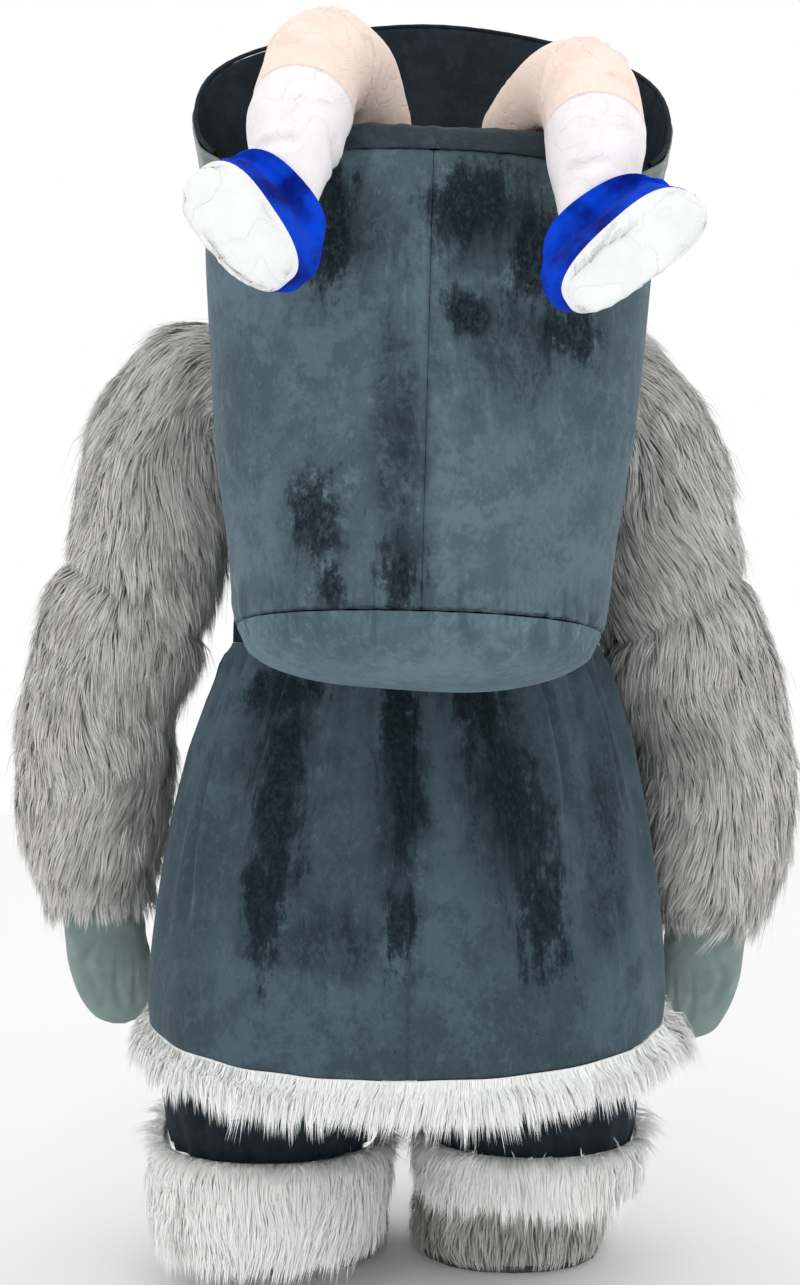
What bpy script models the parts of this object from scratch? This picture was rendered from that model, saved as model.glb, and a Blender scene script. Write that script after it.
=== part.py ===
"""Filled-out minotaur costume that carries a basket with two stuffed legs on its back.

Metres, +Z up. The wearer faces +Y, so the basket hangs on the -Y side, and +X is the wearer's right.
Heights in the tables are above the soles. The origin is where the wearer's shoulders hold it up.
"""
import math

import bmesh
import bpy
from mathutils import Euler, Matrix, Vector

# Driving sizes
HOLD_HEIGHT = 1.78          # wearer's shoulders above the soles
SEAM_GAP = 0.0003           # between neighbouring pieces
CLOTH = 0.0025              # velvet, satin, felt and cloth walls
FUR = 0.010                 # fur backing with its pile
BELT_WALL = 0.006
SOLE_THICKNESS = 0.012

# Basket, in its own frame: its origin is the centre of the seam between wall and lid
BASKET_PLACE = (0.050, -0.545, 1.960)
BASKET_LEAN = math.radians(-7.5)
BASKET_ROLL = math.radians(1.6)
BASKET_POWER = 2.3
BASKET_STEP = 11.25         # degrees between the facets round the basket
LID_RISE = 0.090
LID_EDGE = 0.004            # upright edge of lid and bottom at their seams
BOTTOM_DROP = 0.090
COLLAR_START = 56.25        # degrees from the middle of the basket's outer side
COLLAR_HEIGHT = 0.480
COLLAR_FLARE = 0.046
COLLAR_LAP = 0.012          # how far the collar laps down over the wall
BINDING_RADIUS = 0.004

# Carried legs
LEG_SIDES = 14
LEG_CLEARANCE = 0.0066      # the legs' pile over the velvet that they press on
LEG_ROOT_GAP = 0.0005       # between a thigh's sewn edge and the lid
SOCK_TUCK = 0.0010          # how far the sock's top lies past the thigh's edge
SHOE_EASE = 0.0038          # between the sock and the shoe's mouth
SHOE_TOP_LAP = 0.002        # how far the shoe's mouth laps back over the sock
SOLE_SEAM = 0.0008          # between the shoe's upper and its sole

# Pieces that lie on others: heights of their outer face over the face under them
SLEEVE_HEAD_LIFT = 0.0015
THUMB_LIFT = 0.0041
BUD_LIFT = 0.0006
MUZZLE_LIFT = 0.0026
EYE_LIFT = 0.0005
STRAP_WIDTH = 0.044

# Skirt
GATHERS = 20
HEM_DROP = 0.085            # the hem hangs lower behind than in front
SIDES = {"left": -1.0, "right": 1.0}

# Name: (red, green, blue, roughness)
FINISHES = {
    "velvet": (0.070, 0.098, 0.120, 0.80),
    "velvet_dark": (0.020, 0.030, 0.038, 0.85),
    "satin": (0.120, 0.145, 0.135, 0.55),
    "grey_fur": (0.300, 0.300, 0.305, 0.95),
    "white_fur": (0.860, 0.870, 0.850, 0.95),
    "felt": (0.220, 0.300, 0.290, 0.90),
    "peach_cloth": (0.910, 0.720, 0.620, 0.75),
    "white_cloth": (0.900, 0.890, 0.890, 0.70),
    "blue_velvet": (0.005, 0.030, 0.700, 0.70),
    "boot_sole": (0.060, 0.062, 0.065, 0.80),
    "horn": (0.550, 0.480, 0.380, 0.45),
    "eye": (0.010, 0.010, 0.012, 0.20),
}


class Sections:
    """Sections of a tube from its first to its last, read smoothly anywhere between them."""

    def __init__(self, columns, rows):
        self.columns = columns
        self.rows = rows
        self.last = len(rows) - 1

    def at(self, along):
        """Sizes at a place along the tube, where whole numbers are the rows."""
        along = min(max(along, 0.0), float(self.last))
        low = min(int(along), self.last - 1)
        part = along - low
        before = self.rows[max(low - 1, 0)]
        start = self.rows[low]
        end = self.rows[low + 1]
        after = self.rows[min(low + 2, self.last)]
        sizes = {}
        for column, a, b, c, d in zip(self.columns, before, start, end, after):
            curve = (2 * a - 5 * b + 4 * c - d) * part ** 2 + (3 * b - a - 3 * c + d) * part ** 3
            sizes[column] = 0.5 * (2 * b + (c - a) * part + curve)
        return sizes


TORSO = Sections(
    ("z", "half_width", "half_depth", "middle_x", "middle_y"),
    ((1.3253, 0.346, 0.256, 0.026, 0.000),
     (1.420, 0.336, 0.268, 0.016, 0.000),
     (1.550, 0.325, 0.282, 0.006, 0.000),
     (1.660, 0.318, 0.285, 0.000, 0.000),
     (1.770, 0.303, 0.262, 0.000, 0.000),
     (1.850, 0.268, 0.215, 0.000, 0.004),
     (1.895, 0.212, 0.170, 0.000, 0.010),
     (1.915, 0.158, 0.144, 0.000, 0.012)))

BELT = Sections(
    ("z", "half_width", "half_depth", "middle_x"),
    ((1.3250, 0.3465, 0.2565, 0.026),
     (1.300, 0.357, 0.264, 0.028),
     (1.272, 0.360, 0.267, 0.029),
     (1.2508, 0.3615, 0.268, 0.030)))

SKIRT = Sections(
    ("z", "half_width", "half_depth", "middle_x", "gather", "drop"),
    ((1.2497, 0.3615, 0.268, 0.030, 0.000, 0.00),
     (1.205, 0.380, 0.287, 0.028, 0.008, 0.00),
     (1.100, 0.420, 0.325, 0.024, 0.008, 0.10),
     (0.980, 0.455, 0.362, 0.020, 0.007, 0.25),
     (0.850, 0.481, 0.395, 0.017, 0.006, 0.50),
     (0.720, 0.499, 0.420, 0.015, 0.005, 0.75),
     (0.630, 0.506, 0.432, 0.013, 0.004, 0.92),
     (0.575, 0.503, 0.436, 0.012, 0.004, 1.00)))

# Each row: how far below the hem the fur reaches, and how far out it stands
TRIM = Sections(
    ("down", "out"),
    ((0.0004, 0.000),
     (0.020, 0.030),
     (0.055, 0.048),
     (0.100, 0.046),
     (0.140, 0.028)))

SEAT = Sections(
    ("z", "half_width", "half_depth", "middle_x", "power"),
    ((1.2497, 0.3588, 0.2652, 0.030, 2.2),
     (1.150, 0.362, 0.268, 0.020, 2.4),
     (1.000, 0.385, 0.268, 0.008, 2.8),
     (0.870, 0.405, 0.263, 0.000, 3.1),
     (0.780, 0.420, 0.260, 0.000, 3.2)))

BREECHES = Sections(
    ("z", "middle_x", "half_width", "half_depth", "power"),
    ((0.7790, 0.2102, 0.2098, 0.260, 3.2),
     (0.660, 0.225, 0.205, 0.237, 2.6),
     (0.540, 0.238, 0.212, 0.226, 2.3),
     (0.440, 0.248, 0.219, 0.226, 2.2),
     (0.370, 0.252, 0.217, 0.224, 2.2),
     (0.325, 0.254, 0.201, 0.211, 2.2)))

# Each row: part of the cuff's hang, and how far the fur stands out from the breeches' edge
CUFF = Sections(
    ("hang", "out"),
    ((0.00, 0.0004),
     (0.12, 0.026),
     (0.40, 0.037),
     (0.72, 0.034),
     (1.00, 0.014)))
CUFF_TOP = 0.3246
CUFF_FRONT_HANG = 0.060
CUFF_BACK_HANG = {"left": 0.278, "right": 0.205}
CUFF_SPREAD = {"left": 1.0, "right": 0.72}

FOOT = Sections(
    ("z", "middle_x", "middle_y", "half_width", "half_length"),
    ((0.0123, 0.226, 0.165, 0.186, 0.176),
     (0.045, 0.226, 0.165, 0.200, 0.190),
     (0.100, 0.229, 0.155, 0.200, 0.186),
     (0.160, 0.236, 0.115, 0.190, 0.172),
     (0.220, 0.243, 0.050, 0.170, 0.165),
     (0.280, 0.250, 0.005, 0.178, 0.184),
     (0.3240, 0.254, 0.000, 0.1927, 0.2027)))

# Sleeve rings after the armhole, from shoulder to cuff; turn 0 faces sideways, 90 faces down
UPPER_SLEEVE = Sections(
    ("x", "y", "z", "half_side", "half_depth", "turn"),
    ((0.378, 0.000, 1.762, 0.132, 0.140, 22.0),
     (0.435, 0.000, 1.700, 0.150, 0.155, 45.0),
     (0.473, 0.000, 1.617, 0.155, 0.163, 62.0),
     (0.490, 0.005, 1.532, 0.151, 0.163, 73.0),
     (0.506, 0.014, 1.447, 0.155, 0.162, 74.0),
     (0.529, 0.024, 1.352, 0.160, 0.163, 62.0)))
LOWER_SLEEVE = Sections(
    ("x", "y", "z", "half_side", "half_depth", "turn"),
    ((0.5294, 0.024, 1.3508, 0.160, 0.163, 62.0),
     (0.569, 0.035, 1.236, 0.163, 0.163, 78.0),
     (0.610, 0.050, 1.120, 0.152, 0.158, 88.0),
     (0.618, 0.070, 1.020, 0.158, 0.156, 92.0),
     (0.624, 0.095, 0.900, 0.150, 0.150, 94.0),
     (0.622, 0.120, 0.800, 0.132, 0.132, 95.0),
     (0.618, 0.140, 0.725, 0.100, 0.096, 95.0)))
GLOVE = Sections(
    ("x", "y", "z", "half_side", "half_depth", "turn"),
    ((0.6181, 0.137, 0.7385, 0.0893, 0.0853, 95.0),
     (0.618, 0.140, 0.725, 0.0893, 0.0853, 95.0),
     (0.616, 0.158, 0.665, 0.084, 0.062, 95.0),
     (0.610, 0.182, 0.590, 0.086, 0.050, 97.0),
     (0.602, 0.212, 0.520, 0.078, 0.042, 99.0),
     (0.592, 0.232, 0.468, 0.058, 0.034, 100.0),
     (0.586, 0.238, 0.444, 0.028, 0.020, 100.0)))
ARM_DROP = {"left": 0.0, "right": 0.030}
ARM_OUT = {"left": 0.0, "right": 0.018}
SLEEVE_EASE = 0.973         # the sleeve's head against its armhole
ARMHOLE = {"angle": 90.0, "along": 3.85, "half_angle": 33.0, "half_along": 1.45}

HOOD = Sections(
    ("z", "middle_y", "half_width", "half_depth"),
    ((1.9153, 0.012, 0.1575, 0.1435),
     (1.970, 0.028, 0.152, 0.152),
     (2.050, 0.048, 0.166, 0.180),
     (2.140, 0.055, 0.176, 0.194),
     (2.230, 0.055, 0.170, 0.188),
     (2.305, 0.050, 0.136, 0.152),
     (2.345, 0.046, 0.075, 0.088)))

BASKET_WALL = Sections(
    ("w", "half_width", "half_depth"),
    ((-0.700, 0.292, 0.230),
     (-0.680, 0.300, 0.237),
     (-0.560, 0.316, 0.246),
     (-0.400, 0.339, 0.260),
     (-0.200, 0.361, 0.274),
     (-0.060, 0.372, 0.281),
     (0.000, 0.368, 0.277)))

# Carried legs: the middle of the tube from the lid over the knee to the ankle, in the basket's frame
LEG_COLUMNS = ("x", "y", "w", "radius")
CARRIED_LEGS = {
    "left": {
        "root": (-0.110, 0.015),
        "thigh": Sections(LEG_COLUMNS, (
            (-0.118, -0.020, 0.150, 0.084),
            (-0.135, -0.085, 0.176, 0.086),
            (-0.160, -0.165, 0.176, 0.087),
            (-0.180, -0.235, 0.140, 0.083),
            (-0.188, -0.278, 0.098, 0.076))),
        "sock": Sections(LEG_COLUMNS, (
            (-0.1881, -0.2783, 0.0977, 0.076),
            (-0.194, -0.320, 0.045, 0.076),
            (-0.202, -0.356, -0.020, 0.074),
            (-0.208, -0.378, -0.080, 0.059))),
        "shoe": {"middle": (-0.263, -0.476, -0.212), "toe": (-0.65, 0.76),
                 "length": 0.205, "width": 0.104},
    },
    "right": {
        "root": (0.150, 0.015),
        "thigh": Sections(LEG_COLUMNS, (
            (0.158, -0.020, 0.132, 0.080),
            (0.182, -0.085, 0.146, 0.082),
            (0.214, -0.165, 0.143, 0.084),
            (0.232, -0.232, 0.110, 0.081),
            (0.238, -0.276, 0.068, 0.076))),
        "sock": Sections(LEG_COLUMNS, (
            (0.2381, -0.2763, 0.0677, 0.076),
            (0.238, -0.322, 0.015, 0.075),
            (0.234, -0.356, -0.045, 0.073),
            (0.230, -0.376, -0.100, 0.059))),
        "shoe": {"middle": (0.272, -0.474, -0.228), "toe": (0.75, 0.66),
                 "length": 0.228, "width": 0.100},
    },
}


# Materials and meshes
def make_finish(name):
    """A plain Principled material of a finish, made once."""
    finish = bpy.data.materials.get(name)
    if finish is None:
        red, green, blue, roughness = FINISHES[name]
        finish = bpy.data.materials.new(name)
        finish.use_nodes = True
        shader = finish.node_tree.nodes["Principled BSDF"]
        shader.inputs["Base Color"].default_value = (red, green, blue, 1.0)
        shader.inputs["Roughness"].default_value = roughness
        shader.inputs["Metallic"].default_value = 0.0
    return finish


def sew(name, rows, finish, frame, wall=CLOTH, closed=True, cap=None, inside=None):
    """A cloth piece from rows of points on its outer face, thickened inwards.

    closed joins each row round; cap closes the last row on a point; inside is a point behind an open panel.
    """
    mesh = bmesh.new()
    grid = [[mesh.verts.new(point) for point in row] for row in rows]
    columns = len(grid[0])
    steps = columns if closed else columns - 1
    for low, high in zip(grid, grid[1:]):
        for column in range(steps):
            following = (column + 1) % columns
            mesh.faces.new((low[column], low[following], high[following], high[column]))
    if cap is not None:
        tip = mesh.verts.new(cap)
        for column in range(steps):
            mesh.faces.new((grid[-1][column], grid[-1][(column + 1) % columns], tip))
    mesh.normal_update()
    core = inside if inside is not None else sum((v.co for v in mesh.verts), Vector()) / len(mesh.verts)
    if closed and inside is None:
        facing = 0.0
        middles = [sum((v.co for v in row), Vector()) / columns for row in grid]
        for low, middle in zip(grid[:-1], middles[:-1]):
            for vert in low:
                facing += sum(face.normal.dot(vert.co - middle) for face in vert.link_faces)
    else:
        facing = sum(face.normal.dot(face.calc_center_median() - core) * face.calc_area()
                     for face in mesh.faces)
    if facing < 0.0:
        bmesh.ops.reverse_faces(mesh, faces=mesh.faces)
    return finish_piece(name, mesh, finish, frame, wall)


def finish_piece(name, mesh, finish, frame, wall=None):
    """The object of a mesh, with its wall's thickness, its finish and its place in a frame."""
    data = bpy.data.meshes.new(name)
    mesh.to_mesh(data)
    mesh.free()
    data.materials.append(make_finish(finish))
    data.shade_smooth()
    piece = bpy.data.objects.new(name, data)
    bpy.data.collections["minotaur_costume"].objects.link(piece)
    piece.parent = frame
    if wall:
        thickness = piece.modifiers.new("wall", "SOLIDIFY")
        thickness.thickness = wall
        thickness.offset = -1.0
        thickness.use_quality_normals = True
    return piece


def spread(first, last, count):
    """Evenly spaced values from first to last, both included."""
    return [first + (last - first) * step / (count - 1) for step in range(count)]


def round_section(degrees, half_width, half_depth, power=2.2):
    """Offsets on a section that is between an ellipse and a rectangle; 0 degrees is its -Y side."""
    across = math.sin(math.radians(degrees))
    back = -math.cos(math.radians(degrees))
    size = (abs(across) ** power + abs(back) ** power) ** (-1.0 / power)
    return half_width * across * size, half_depth * back * size


# Surfaces that other pieces are cut to
def torso_point(degrees, along, lift=0.0):
    """A point on the tunic's body; 0 degrees is the middle of the back, 90 the wearer's right."""
    size = TORSO.at(along)
    x, y = round_section(degrees, size["half_width"] + lift, size["half_depth"] + lift)
    return Vector((size["middle_x"] + x, size["middle_y"] + y, size["z"]))


def hood_point(degrees, along, lift=0.0):
    """A point on the hood, with the same angles as the body."""
    size = HOOD.at(along)
    x, y = round_section(degrees, size["half_width"] + lift, size["half_depth"] + lift, 2.0)
    return Vector((x, size["middle_y"] + y, size["z"]))


def skirt_point(degrees, along, lift=0.0):
    """A point on the skirt, with its gathers and the hem that hangs lower behind."""
    size = SKIRT.at(along)
    ripple = size["gather"] * math.cos(math.radians(GATHERS * degrees))
    x, y = round_section(degrees, size["half_width"] + ripple + lift,
                         size["half_depth"] + ripple + lift)
    behind = (1.0 + math.cos(math.radians(degrees))) / 2.0
    return Vector((size["middle_x"] + x, y, size["z"] - HEM_DROP * size["drop"] * behind))


def basket_point(degrees, along, lift=0.0):
    """A point on the basket's wall in its own frame; 0 degrees is the side away from the wearer."""
    size = BASKET_WALL.at(along)
    x, y = round_section(degrees, size["half_width"] + lift, size["half_depth"] + lift, BASKET_POWER)
    return Vector((x, y, size["w"]))


def lid_height(x, y):
    """Height of the lid's dome above its seam."""
    edge = BASKET_WALL.at(BASKET_WALL.last)
    reach = (abs(x / edge["half_width"]) ** BASKET_POWER
             + abs(y / edge["half_depth"]) ** BASKET_POWER) ** (1.0 / BASKET_POWER)
    return SEAM_GAP + LID_EDGE + LID_RISE * math.sqrt(max(0.0, 1.0 - reach ** 3))


def ring_point(size, degrees, side, drop=0.0, out=0.0):
    """A point of a sleeve or glove ring; 0 degrees is its outer side and 90 its front."""
    turn = math.radians(size["turn"])
    across = size["half_side"] * math.cos(math.radians(degrees))
    x = size["x"] + out + across * math.sin(turn)
    y = size["y"] + size["half_depth"] * math.sin(math.radians(degrees))
    return Vector((side * x, y, size["z"] - drop + across * math.cos(turn)))


def armhole_point(degrees, side, lift=0.0):
    """A point just inside the armhole's edge; 0 degrees is its top and 90 its front."""
    angle = ARMHOLE["angle"] + SLEEVE_EASE * ARMHOLE["half_angle"] * math.sin(math.radians(degrees))
    along = ARMHOLE["along"] + SLEEVE_EASE * ARMHOLE["half_along"] * math.cos(math.radians(degrees))
    return torso_point(side * angle, along, lift)


def panel_edge(along):
    """How many degrees a panel is cut back from the side seam by the armhole."""
    reach = (along - ARMHOLE["along"]) / ARMHOLE["half_along"]
    return ARMHOLE["half_angle"] * math.sqrt(max(0.0, 1.0 - reach ** 2))


# Tunic
def make_bodice(frame):
    """Back and two fronts, cut away at the armholes, open at the neck and the waist."""
    rows = spread(0.0, TORSO.last, 11)
    seam = 0.14
    inside = Vector((0.0, 0.0, 1.65))
    back = []
    for along in rows:
        edge = 90.0 - seam - panel_edge(along)
        back.append([torso_point(angle, along) for angle in spread(-edge, edge, 13)])
    sew("bodice_back", back, "velvet", frame, closed=False, inside=inside)
    for name, side in SIDES.items():
        front = []
        for along in rows:
            edge = 90.0 + seam + panel_edge(along)
            angles = spread(edge, 180.0 - seam, 7)
            front.append([torso_point(side * angle, along) for angle in angles])
        sew("bodice_front_" + name, front, "velvet", frame, closed=False, inside=inside)


def make_belt(frame):
    """Waistband between the bodice and the skirt."""
    rows = []
    for along in spread(0.0, BELT.last, 3):
        size = BELT.at(along)
        ring = []
        for angle in range(0, 360, 12):
            x, y = round_section(angle, size["half_width"], size["half_depth"])
            ring.append(Vector((size["middle_x"] + x, y, size["z"])))
        rows.append(ring)
    sew("belt", rows, "velvet_dark", frame, wall=BELT_WALL)


def make_skirt(frame):
    """Four gathered panels, parted at the middle and side seams, and the fur band under the hem."""
    seam = 0.125
    inside = Vector((0.0, 0.0, 0.9))
    panels = {
        "skirt_back_right": (0.0, 90.0),
        "skirt_back_left": (-90.0, 0.0),
        "skirt_front_right": (90.0, 180.0),
        "skirt_front_left": (-180.0, -90.0),
    }
    for name, (first, last) in panels.items():
        angles = spread(first + seam, last - seam, 21)
        rows = [[skirt_point(angle, along) for angle in angles]
                for along in spread(0.0, SKIRT.last, 6)]
        sew(name, rows, "velvet", frame, closed=False, inside=inside)
    rows = []
    for along in spread(0.0, TRIM.last, 4):
        size = TRIM.at(along)
        ring = []
        for angle in range(0, 360, 9):
            point = skirt_point(angle, SKIRT.last, size["out"])
            ring.append(point - Vector((0.0, 0.0, size["down"])))
        rows.append(ring)
    sew("skirt_fur_trim", rows, "white_fur", frame, wall=FUR)


# Legs and feet of the costume
def make_breeches(frame):
    """Seat under the skirt, and two legs that are gathered in at the fur cuffs."""
    rows = []
    for along in spread(0.0, SEAT.last, 4):
        size = SEAT.at(along)
        ring = []
        for angle in range(0, 360, 15):
            x, y = round_section(angle, size["half_width"], size["half_depth"], size["power"])
            ring.append(Vector((size["middle_x"] + x, y, size["z"])))
        rows.append(ring)
    sew("breeches_seat", rows, "velvet_dark", frame)
    for name, side in SIDES.items():
        rows = []
        for along in spread(0.0, BREECHES.last, 5):
            size = BREECHES.at(along)
            ring = []
            for angle in range(0, 360, 20):
                x, y = round_section(angle, size["half_width"], size["half_depth"], size["power"])
                ring.append(Vector((side * (size["middle_x"] + x), y, size["z"])))
            rows.append(ring)
        sew("breeches_" + name, rows, "velvet_dark", frame)


def make_cuffs(frame):
    """White fur cuffs that hang long behind and short over the insteps."""
    edge = BREECHES.at(BREECHES.last)
    for name, side in SIDES.items():
        rows = []
        for along in spread(0.0, CUFF.last, 5):
            size = CUFF.at(along)
            out = size["out"] * (CUFF_SPREAD[name] if along > 0.0 else 1.0)
            ring = []
            for angle in range(0, 360, 20):
                behind = min(1.0, max(0.0, (math.cos(math.radians(angle)) + 0.45) / 0.9))
                behind = behind * behind * (3.0 - 2.0 * behind)
                hang = CUFF_FRONT_HANG + (CUFF_BACK_HANG[name] - CUFF_FRONT_HANG) * behind
                x, y = round_section(angle, edge["half_width"] + out, edge["half_depth"] + out)
                ring.append(Vector((side * (edge["middle_x"] + x), y, CUFF_TOP - hang * size["hang"])))
            rows.append(ring)
        sew("cuff_fur_" + name, rows, "white_fur", frame, wall=FUR)


def make_feet(frame):
    """Wide fur feet on flat soles."""
    for name, side in SIDES.items():
        rows = []
        for along in spread(0.0, FOOT.last, 6):
            size = FOOT.at(along)
            ring = []
            for angle in range(0, 360, 20):
                x, y = round_section(angle, size["half_width"], size["half_length"], 2.3)
                ring.append(Vector((side * (size["middle_x"] + x), size["middle_y"] + y, size["z"])))
            rows.append(ring)
        sew("foot_fur_" + name, rows, "grey_fur", frame, wall=FUR)
        outline = bmesh.new()
        lower = [outline.verts.new((point.x, point.y, 0.0)) for point in rows[0]]
        upper = [outline.verts.new((point.x, point.y, SOLE_THICKNESS)) for point in rows[0]]
        outline.faces.new(lower)
        outline.faces.new(upper)
        for index in range(len(lower)):
            following = (index + 1) % len(lower)
            outline.faces.new((lower[index], lower[following], upper[following], upper[index]))
        bmesh.ops.recalc_face_normals(outline, faces=outline.faces)
        sole = finish_piece("sole_" + name, outline, "boot_sole", frame)
        sole.data.set_sharp_from_angle(angle=math.radians(40.0))


# Arms
def make_sleeves(frame):
    """Fur sleeves in two tubes, sewn to the armholes and to each other at the elbow."""
    angles = range(0, 360, 20)
    for name, side in SIDES.items():
        rows = [[armhole_point(angle, side, SLEEVE_HEAD_LIFT) for angle in angles]]
        for along in spread(0.0, UPPER_SLEEVE.last, 6):
            share = min(1.0, along / 3.0)
            size = UPPER_SLEEVE.at(along)
            rows.append([ring_point(size, angle, side, ARM_DROP[name] * share, ARM_OUT[name] * share)
                         for angle in angles])
        sew("sleeve_upper_" + name, rows, "grey_fur", frame, wall=FUR)
        rows = []
        for along in spread(0.0, LOWER_SLEEVE.last, 7):
            size = LOWER_SLEEVE.at(along)
            rows.append([ring_point(size, angle, side, ARM_DROP[name], ARM_OUT[name])
                         for angle in angles])
        sew("sleeve_lower_" + name, rows, "grey_fur", frame, wall=FUR)


def make_gloves(frame):
    """Felt mittens whose wrists go up inside the sleeves, each with a thumb on its front."""
    for name, side in SIDES.items():
        def palm(angle, along, lift=0.0):
            size = dict(GLOVE.at(along))
            size["half_side"] += lift
            size["half_depth"] += lift
            return ring_point(size, angle, side, ARM_DROP[name], ARM_OUT[name])
        rows = [[palm(angle, along) for angle in range(0, 360, 24)]
                for along in spread(0.0, GLOVE.last, 7)]
        tip = sum(rows[-1], Vector()) / len(rows[-1]) - Vector((0.0, 0.0, 0.006))
        sew("glove_" + name, rows, "felt", frame, cap=tip)
        thumb = [[palm(105.0 + 26.0 * math.cos(math.radians(turn)),
                       2.75 + 0.42 * math.sin(math.radians(turn)), THUMB_LIFT)
                  for turn in range(0, 360, 45)]]
        middle = sum(thumb[0], Vector()) / len(thumb[0])
        for forward, down, radius in ((0.022, 0.006, 0.024), (0.040, 0.028, 0.022),
                                      (0.050, 0.052, 0.018), (0.054, 0.068, 0.010)):
            centre = middle + Vector((0.0, forward, -down))
            slope = 0.5 * down / 0.068
            thumb.append([centre + Vector((-side * radius * math.cos(math.radians(turn)),
                                           -radius * slope * math.sin(math.radians(turn)),
                                           -radius * (1.0 - slope) * math.sin(math.radians(turn))))
                          for turn in range(0, 360, 45)])
        end = sum(thumb[-1], Vector()) / len(thumb[-1]) + Vector((0.0, 0.002, -0.006))
        sew("thumb_" + name, thumb, "felt", frame, cap=end)


# Hood
def make_bud(name, finish, frame, side, place, size, rings, tip, wall=CLOTH, sides=8, lift=BUD_LIFT):
    """A hollow piece that grows out of the hood: its base follows the hood, then come its rings."""
    turns = [360.0 * step / sides for step in range(sides)]
    rows = [[hood_point(side * (place[0] + size[0] * math.cos(math.radians(turn))),
                        place[1] + size[1] * math.sin(math.radians(turn)), lift)
             for turn in turns]]
    for centre, across, up in rings:
        rows.append([Vector(centre) + Vector(across) * math.cos(math.radians(turn))
                     + Vector(up) * math.sin(math.radians(turn)) for turn in turns])
    sew(name, rows, finish, frame, wall=wall, cap=Vector(tip))


def make_hood(frame):
    """Plain fur hood with a felt muzzle, ears, eyes and short horns."""
    rows = [[hood_point(angle, along) for angle in range(0, 360, 20)]
            for along in spread(0.0, HOOD.last, 7)]
    sew("hood", rows, "grey_fur", frame, wall=FUR, cap=Vector((0.0, 0.045, 2.358)))
    make_bud("muzzle", "felt", frame, 1.0, (180.0, 2.55), (36.0, 0.72), (
        ((0.0, 0.285, 2.095), (-0.098, 0.0, 0.0), (0.0, 0.0, 0.068)),
        ((0.0, 0.345, 2.082), (-0.096, 0.0, 0.0), (0.0, 0.0, 0.070)),
        ((0.0, 0.388, 2.074), (-0.072, 0.0, 0.0), (0.0, 0.0, 0.052)),
    ), (0.0, 0.402, 2.072), sides=14, lift=MUZZLE_LIFT)
    for name, side in SIDES.items():
        make_bud("ear_" + name, "grey_fur", frame, side, (96.0, 3.75), (9.0, 0.22), (
            ((side * 0.205, 0.070, 2.198), (0.0, 0.032, 0.0), (0.0, 0.0, 0.026)),
            ((side * 0.250, 0.075, 2.190), (0.0, 0.034, 0.0), (0.0, 0.0, 0.024)),
            ((side * 0.290, 0.075, 2.175), (0.0, 0.016, 0.0), (0.0, 0.0, 0.012)),
        ), (side * 0.305, 0.075, 2.170), wall=0.004)
        make_bud("horn_" + name, "horn", frame, side, (100.0, 4.75), (13.0, 0.24), (
            ((side * 0.180, 0.082, 2.298), (0.0, 0.028, 0.0), (-side * 0.014, 0.0, 0.024)),
            ((side * 0.225, 0.088, 2.325), (0.0, 0.021, 0.0), (-side * 0.016, 0.0, 0.013)),
            ((side * 0.248, 0.090, 2.362), (0.0, 0.012, 0.0), (-side * 0.011, 0.0, 0.004)),
        ), (side * 0.254, 0.090, 2.400), wall=0.003)
        rows = [[hood_point(side * 146.0 + 7.0 * size * math.cos(math.radians(turn)),
                            3.85 + 0.17 * size * math.sin(math.radians(turn)), lift)
                 for turn in range(0, 360, 45)] for size, lift in ((1.0, EYE_LIFT), (0.65, 0.011))]
        sew("eye_" + name, rows, "eye", frame, wall=0.0015, cap=hood_point(side * 146.0, 3.85, 0.015))


# Basket
def make_basket(frame):
    """Tapering wall in two halves, domed lid and domed bottom."""
    seam = 0.06
    inside = Vector((0.0, 0.0, -0.35))
    for name, side in SIDES.items():
        angles = spread(seam, 180.0 - seam, 17)
        rows = [[basket_point(side * angle, along) for angle in angles]
                for along in spread(0.0, BASKET_WALL.last, 7)]
        sew("basket_wall_" + name, rows, "velvet", frame, closed=False, inside=inside)
    lid = []
    bottom = []
    top = BASKET_WALL.at(BASKET_WALL.last)
    low = BASKET_WALL.at(0.0)
    for reach, upright in ((1.0, 0.0), (1.0, 1.0), (0.96, 1.0), (0.85, 1.0), (0.60, 1.0)):
        outline = [round_section(index * BASKET_STEP, reach, reach, BASKET_POWER)
                   for index in range(round(360.0 / BASKET_STEP))]
        edge = SEAM_GAP + upright * LID_EDGE
        rise = edge + LID_RISE * math.sqrt(1.0 - reach ** 3)
        drop = edge + BOTTOM_DROP * math.sqrt(1.0 - reach ** 2.6)
        lid.append([Vector((x * top["half_width"], y * top["half_depth"], rise)) for x, y in outline])
        bottom.append([Vector((x * low["half_width"], y * low["half_depth"], low["w"] - drop))
                       for x, y in outline])
    sew("basket_lid", lid, "velvet_dark", frame, inside=Vector((0.0, 0.0, -0.1)),
        cap=Vector((0.0, 0.0, SEAM_GAP + LID_EDGE + LID_RISE)))
    sew("basket_bottom", bottom, "velvet", frame, inside=Vector((0.0, 0.0, low["w"] + 0.1)),
        cap=Vector((0.0, 0.0, low["w"] - SEAM_GAP - LID_EDGE - BOTTOM_DROP)))


def collar_point(degrees, height, lift):
    """A point of the collar: height 0 is its lap on the wall and 1 its rim."""
    share = (degrees - COLLAR_START) / (360.0 - 2.0 * COLLAR_START)
    rise = COLLAR_HEIGHT * max(0.0, math.sin(math.pi * share)) ** 1.3
    along = BASKET_WALL.last
    flare = COLLAR_FLARE * height * math.sqrt(rise / COLLAR_HEIGHT)
    if height <= 0.0:
        return basket_point(degrees, along, lift) - Vector((0.0, 0.0, COLLAR_LAP))
    edge = basket_point(degrees, along, lift + flare)
    return edge + Vector((0.0, 0.0, 0.020 + rise * height))


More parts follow.
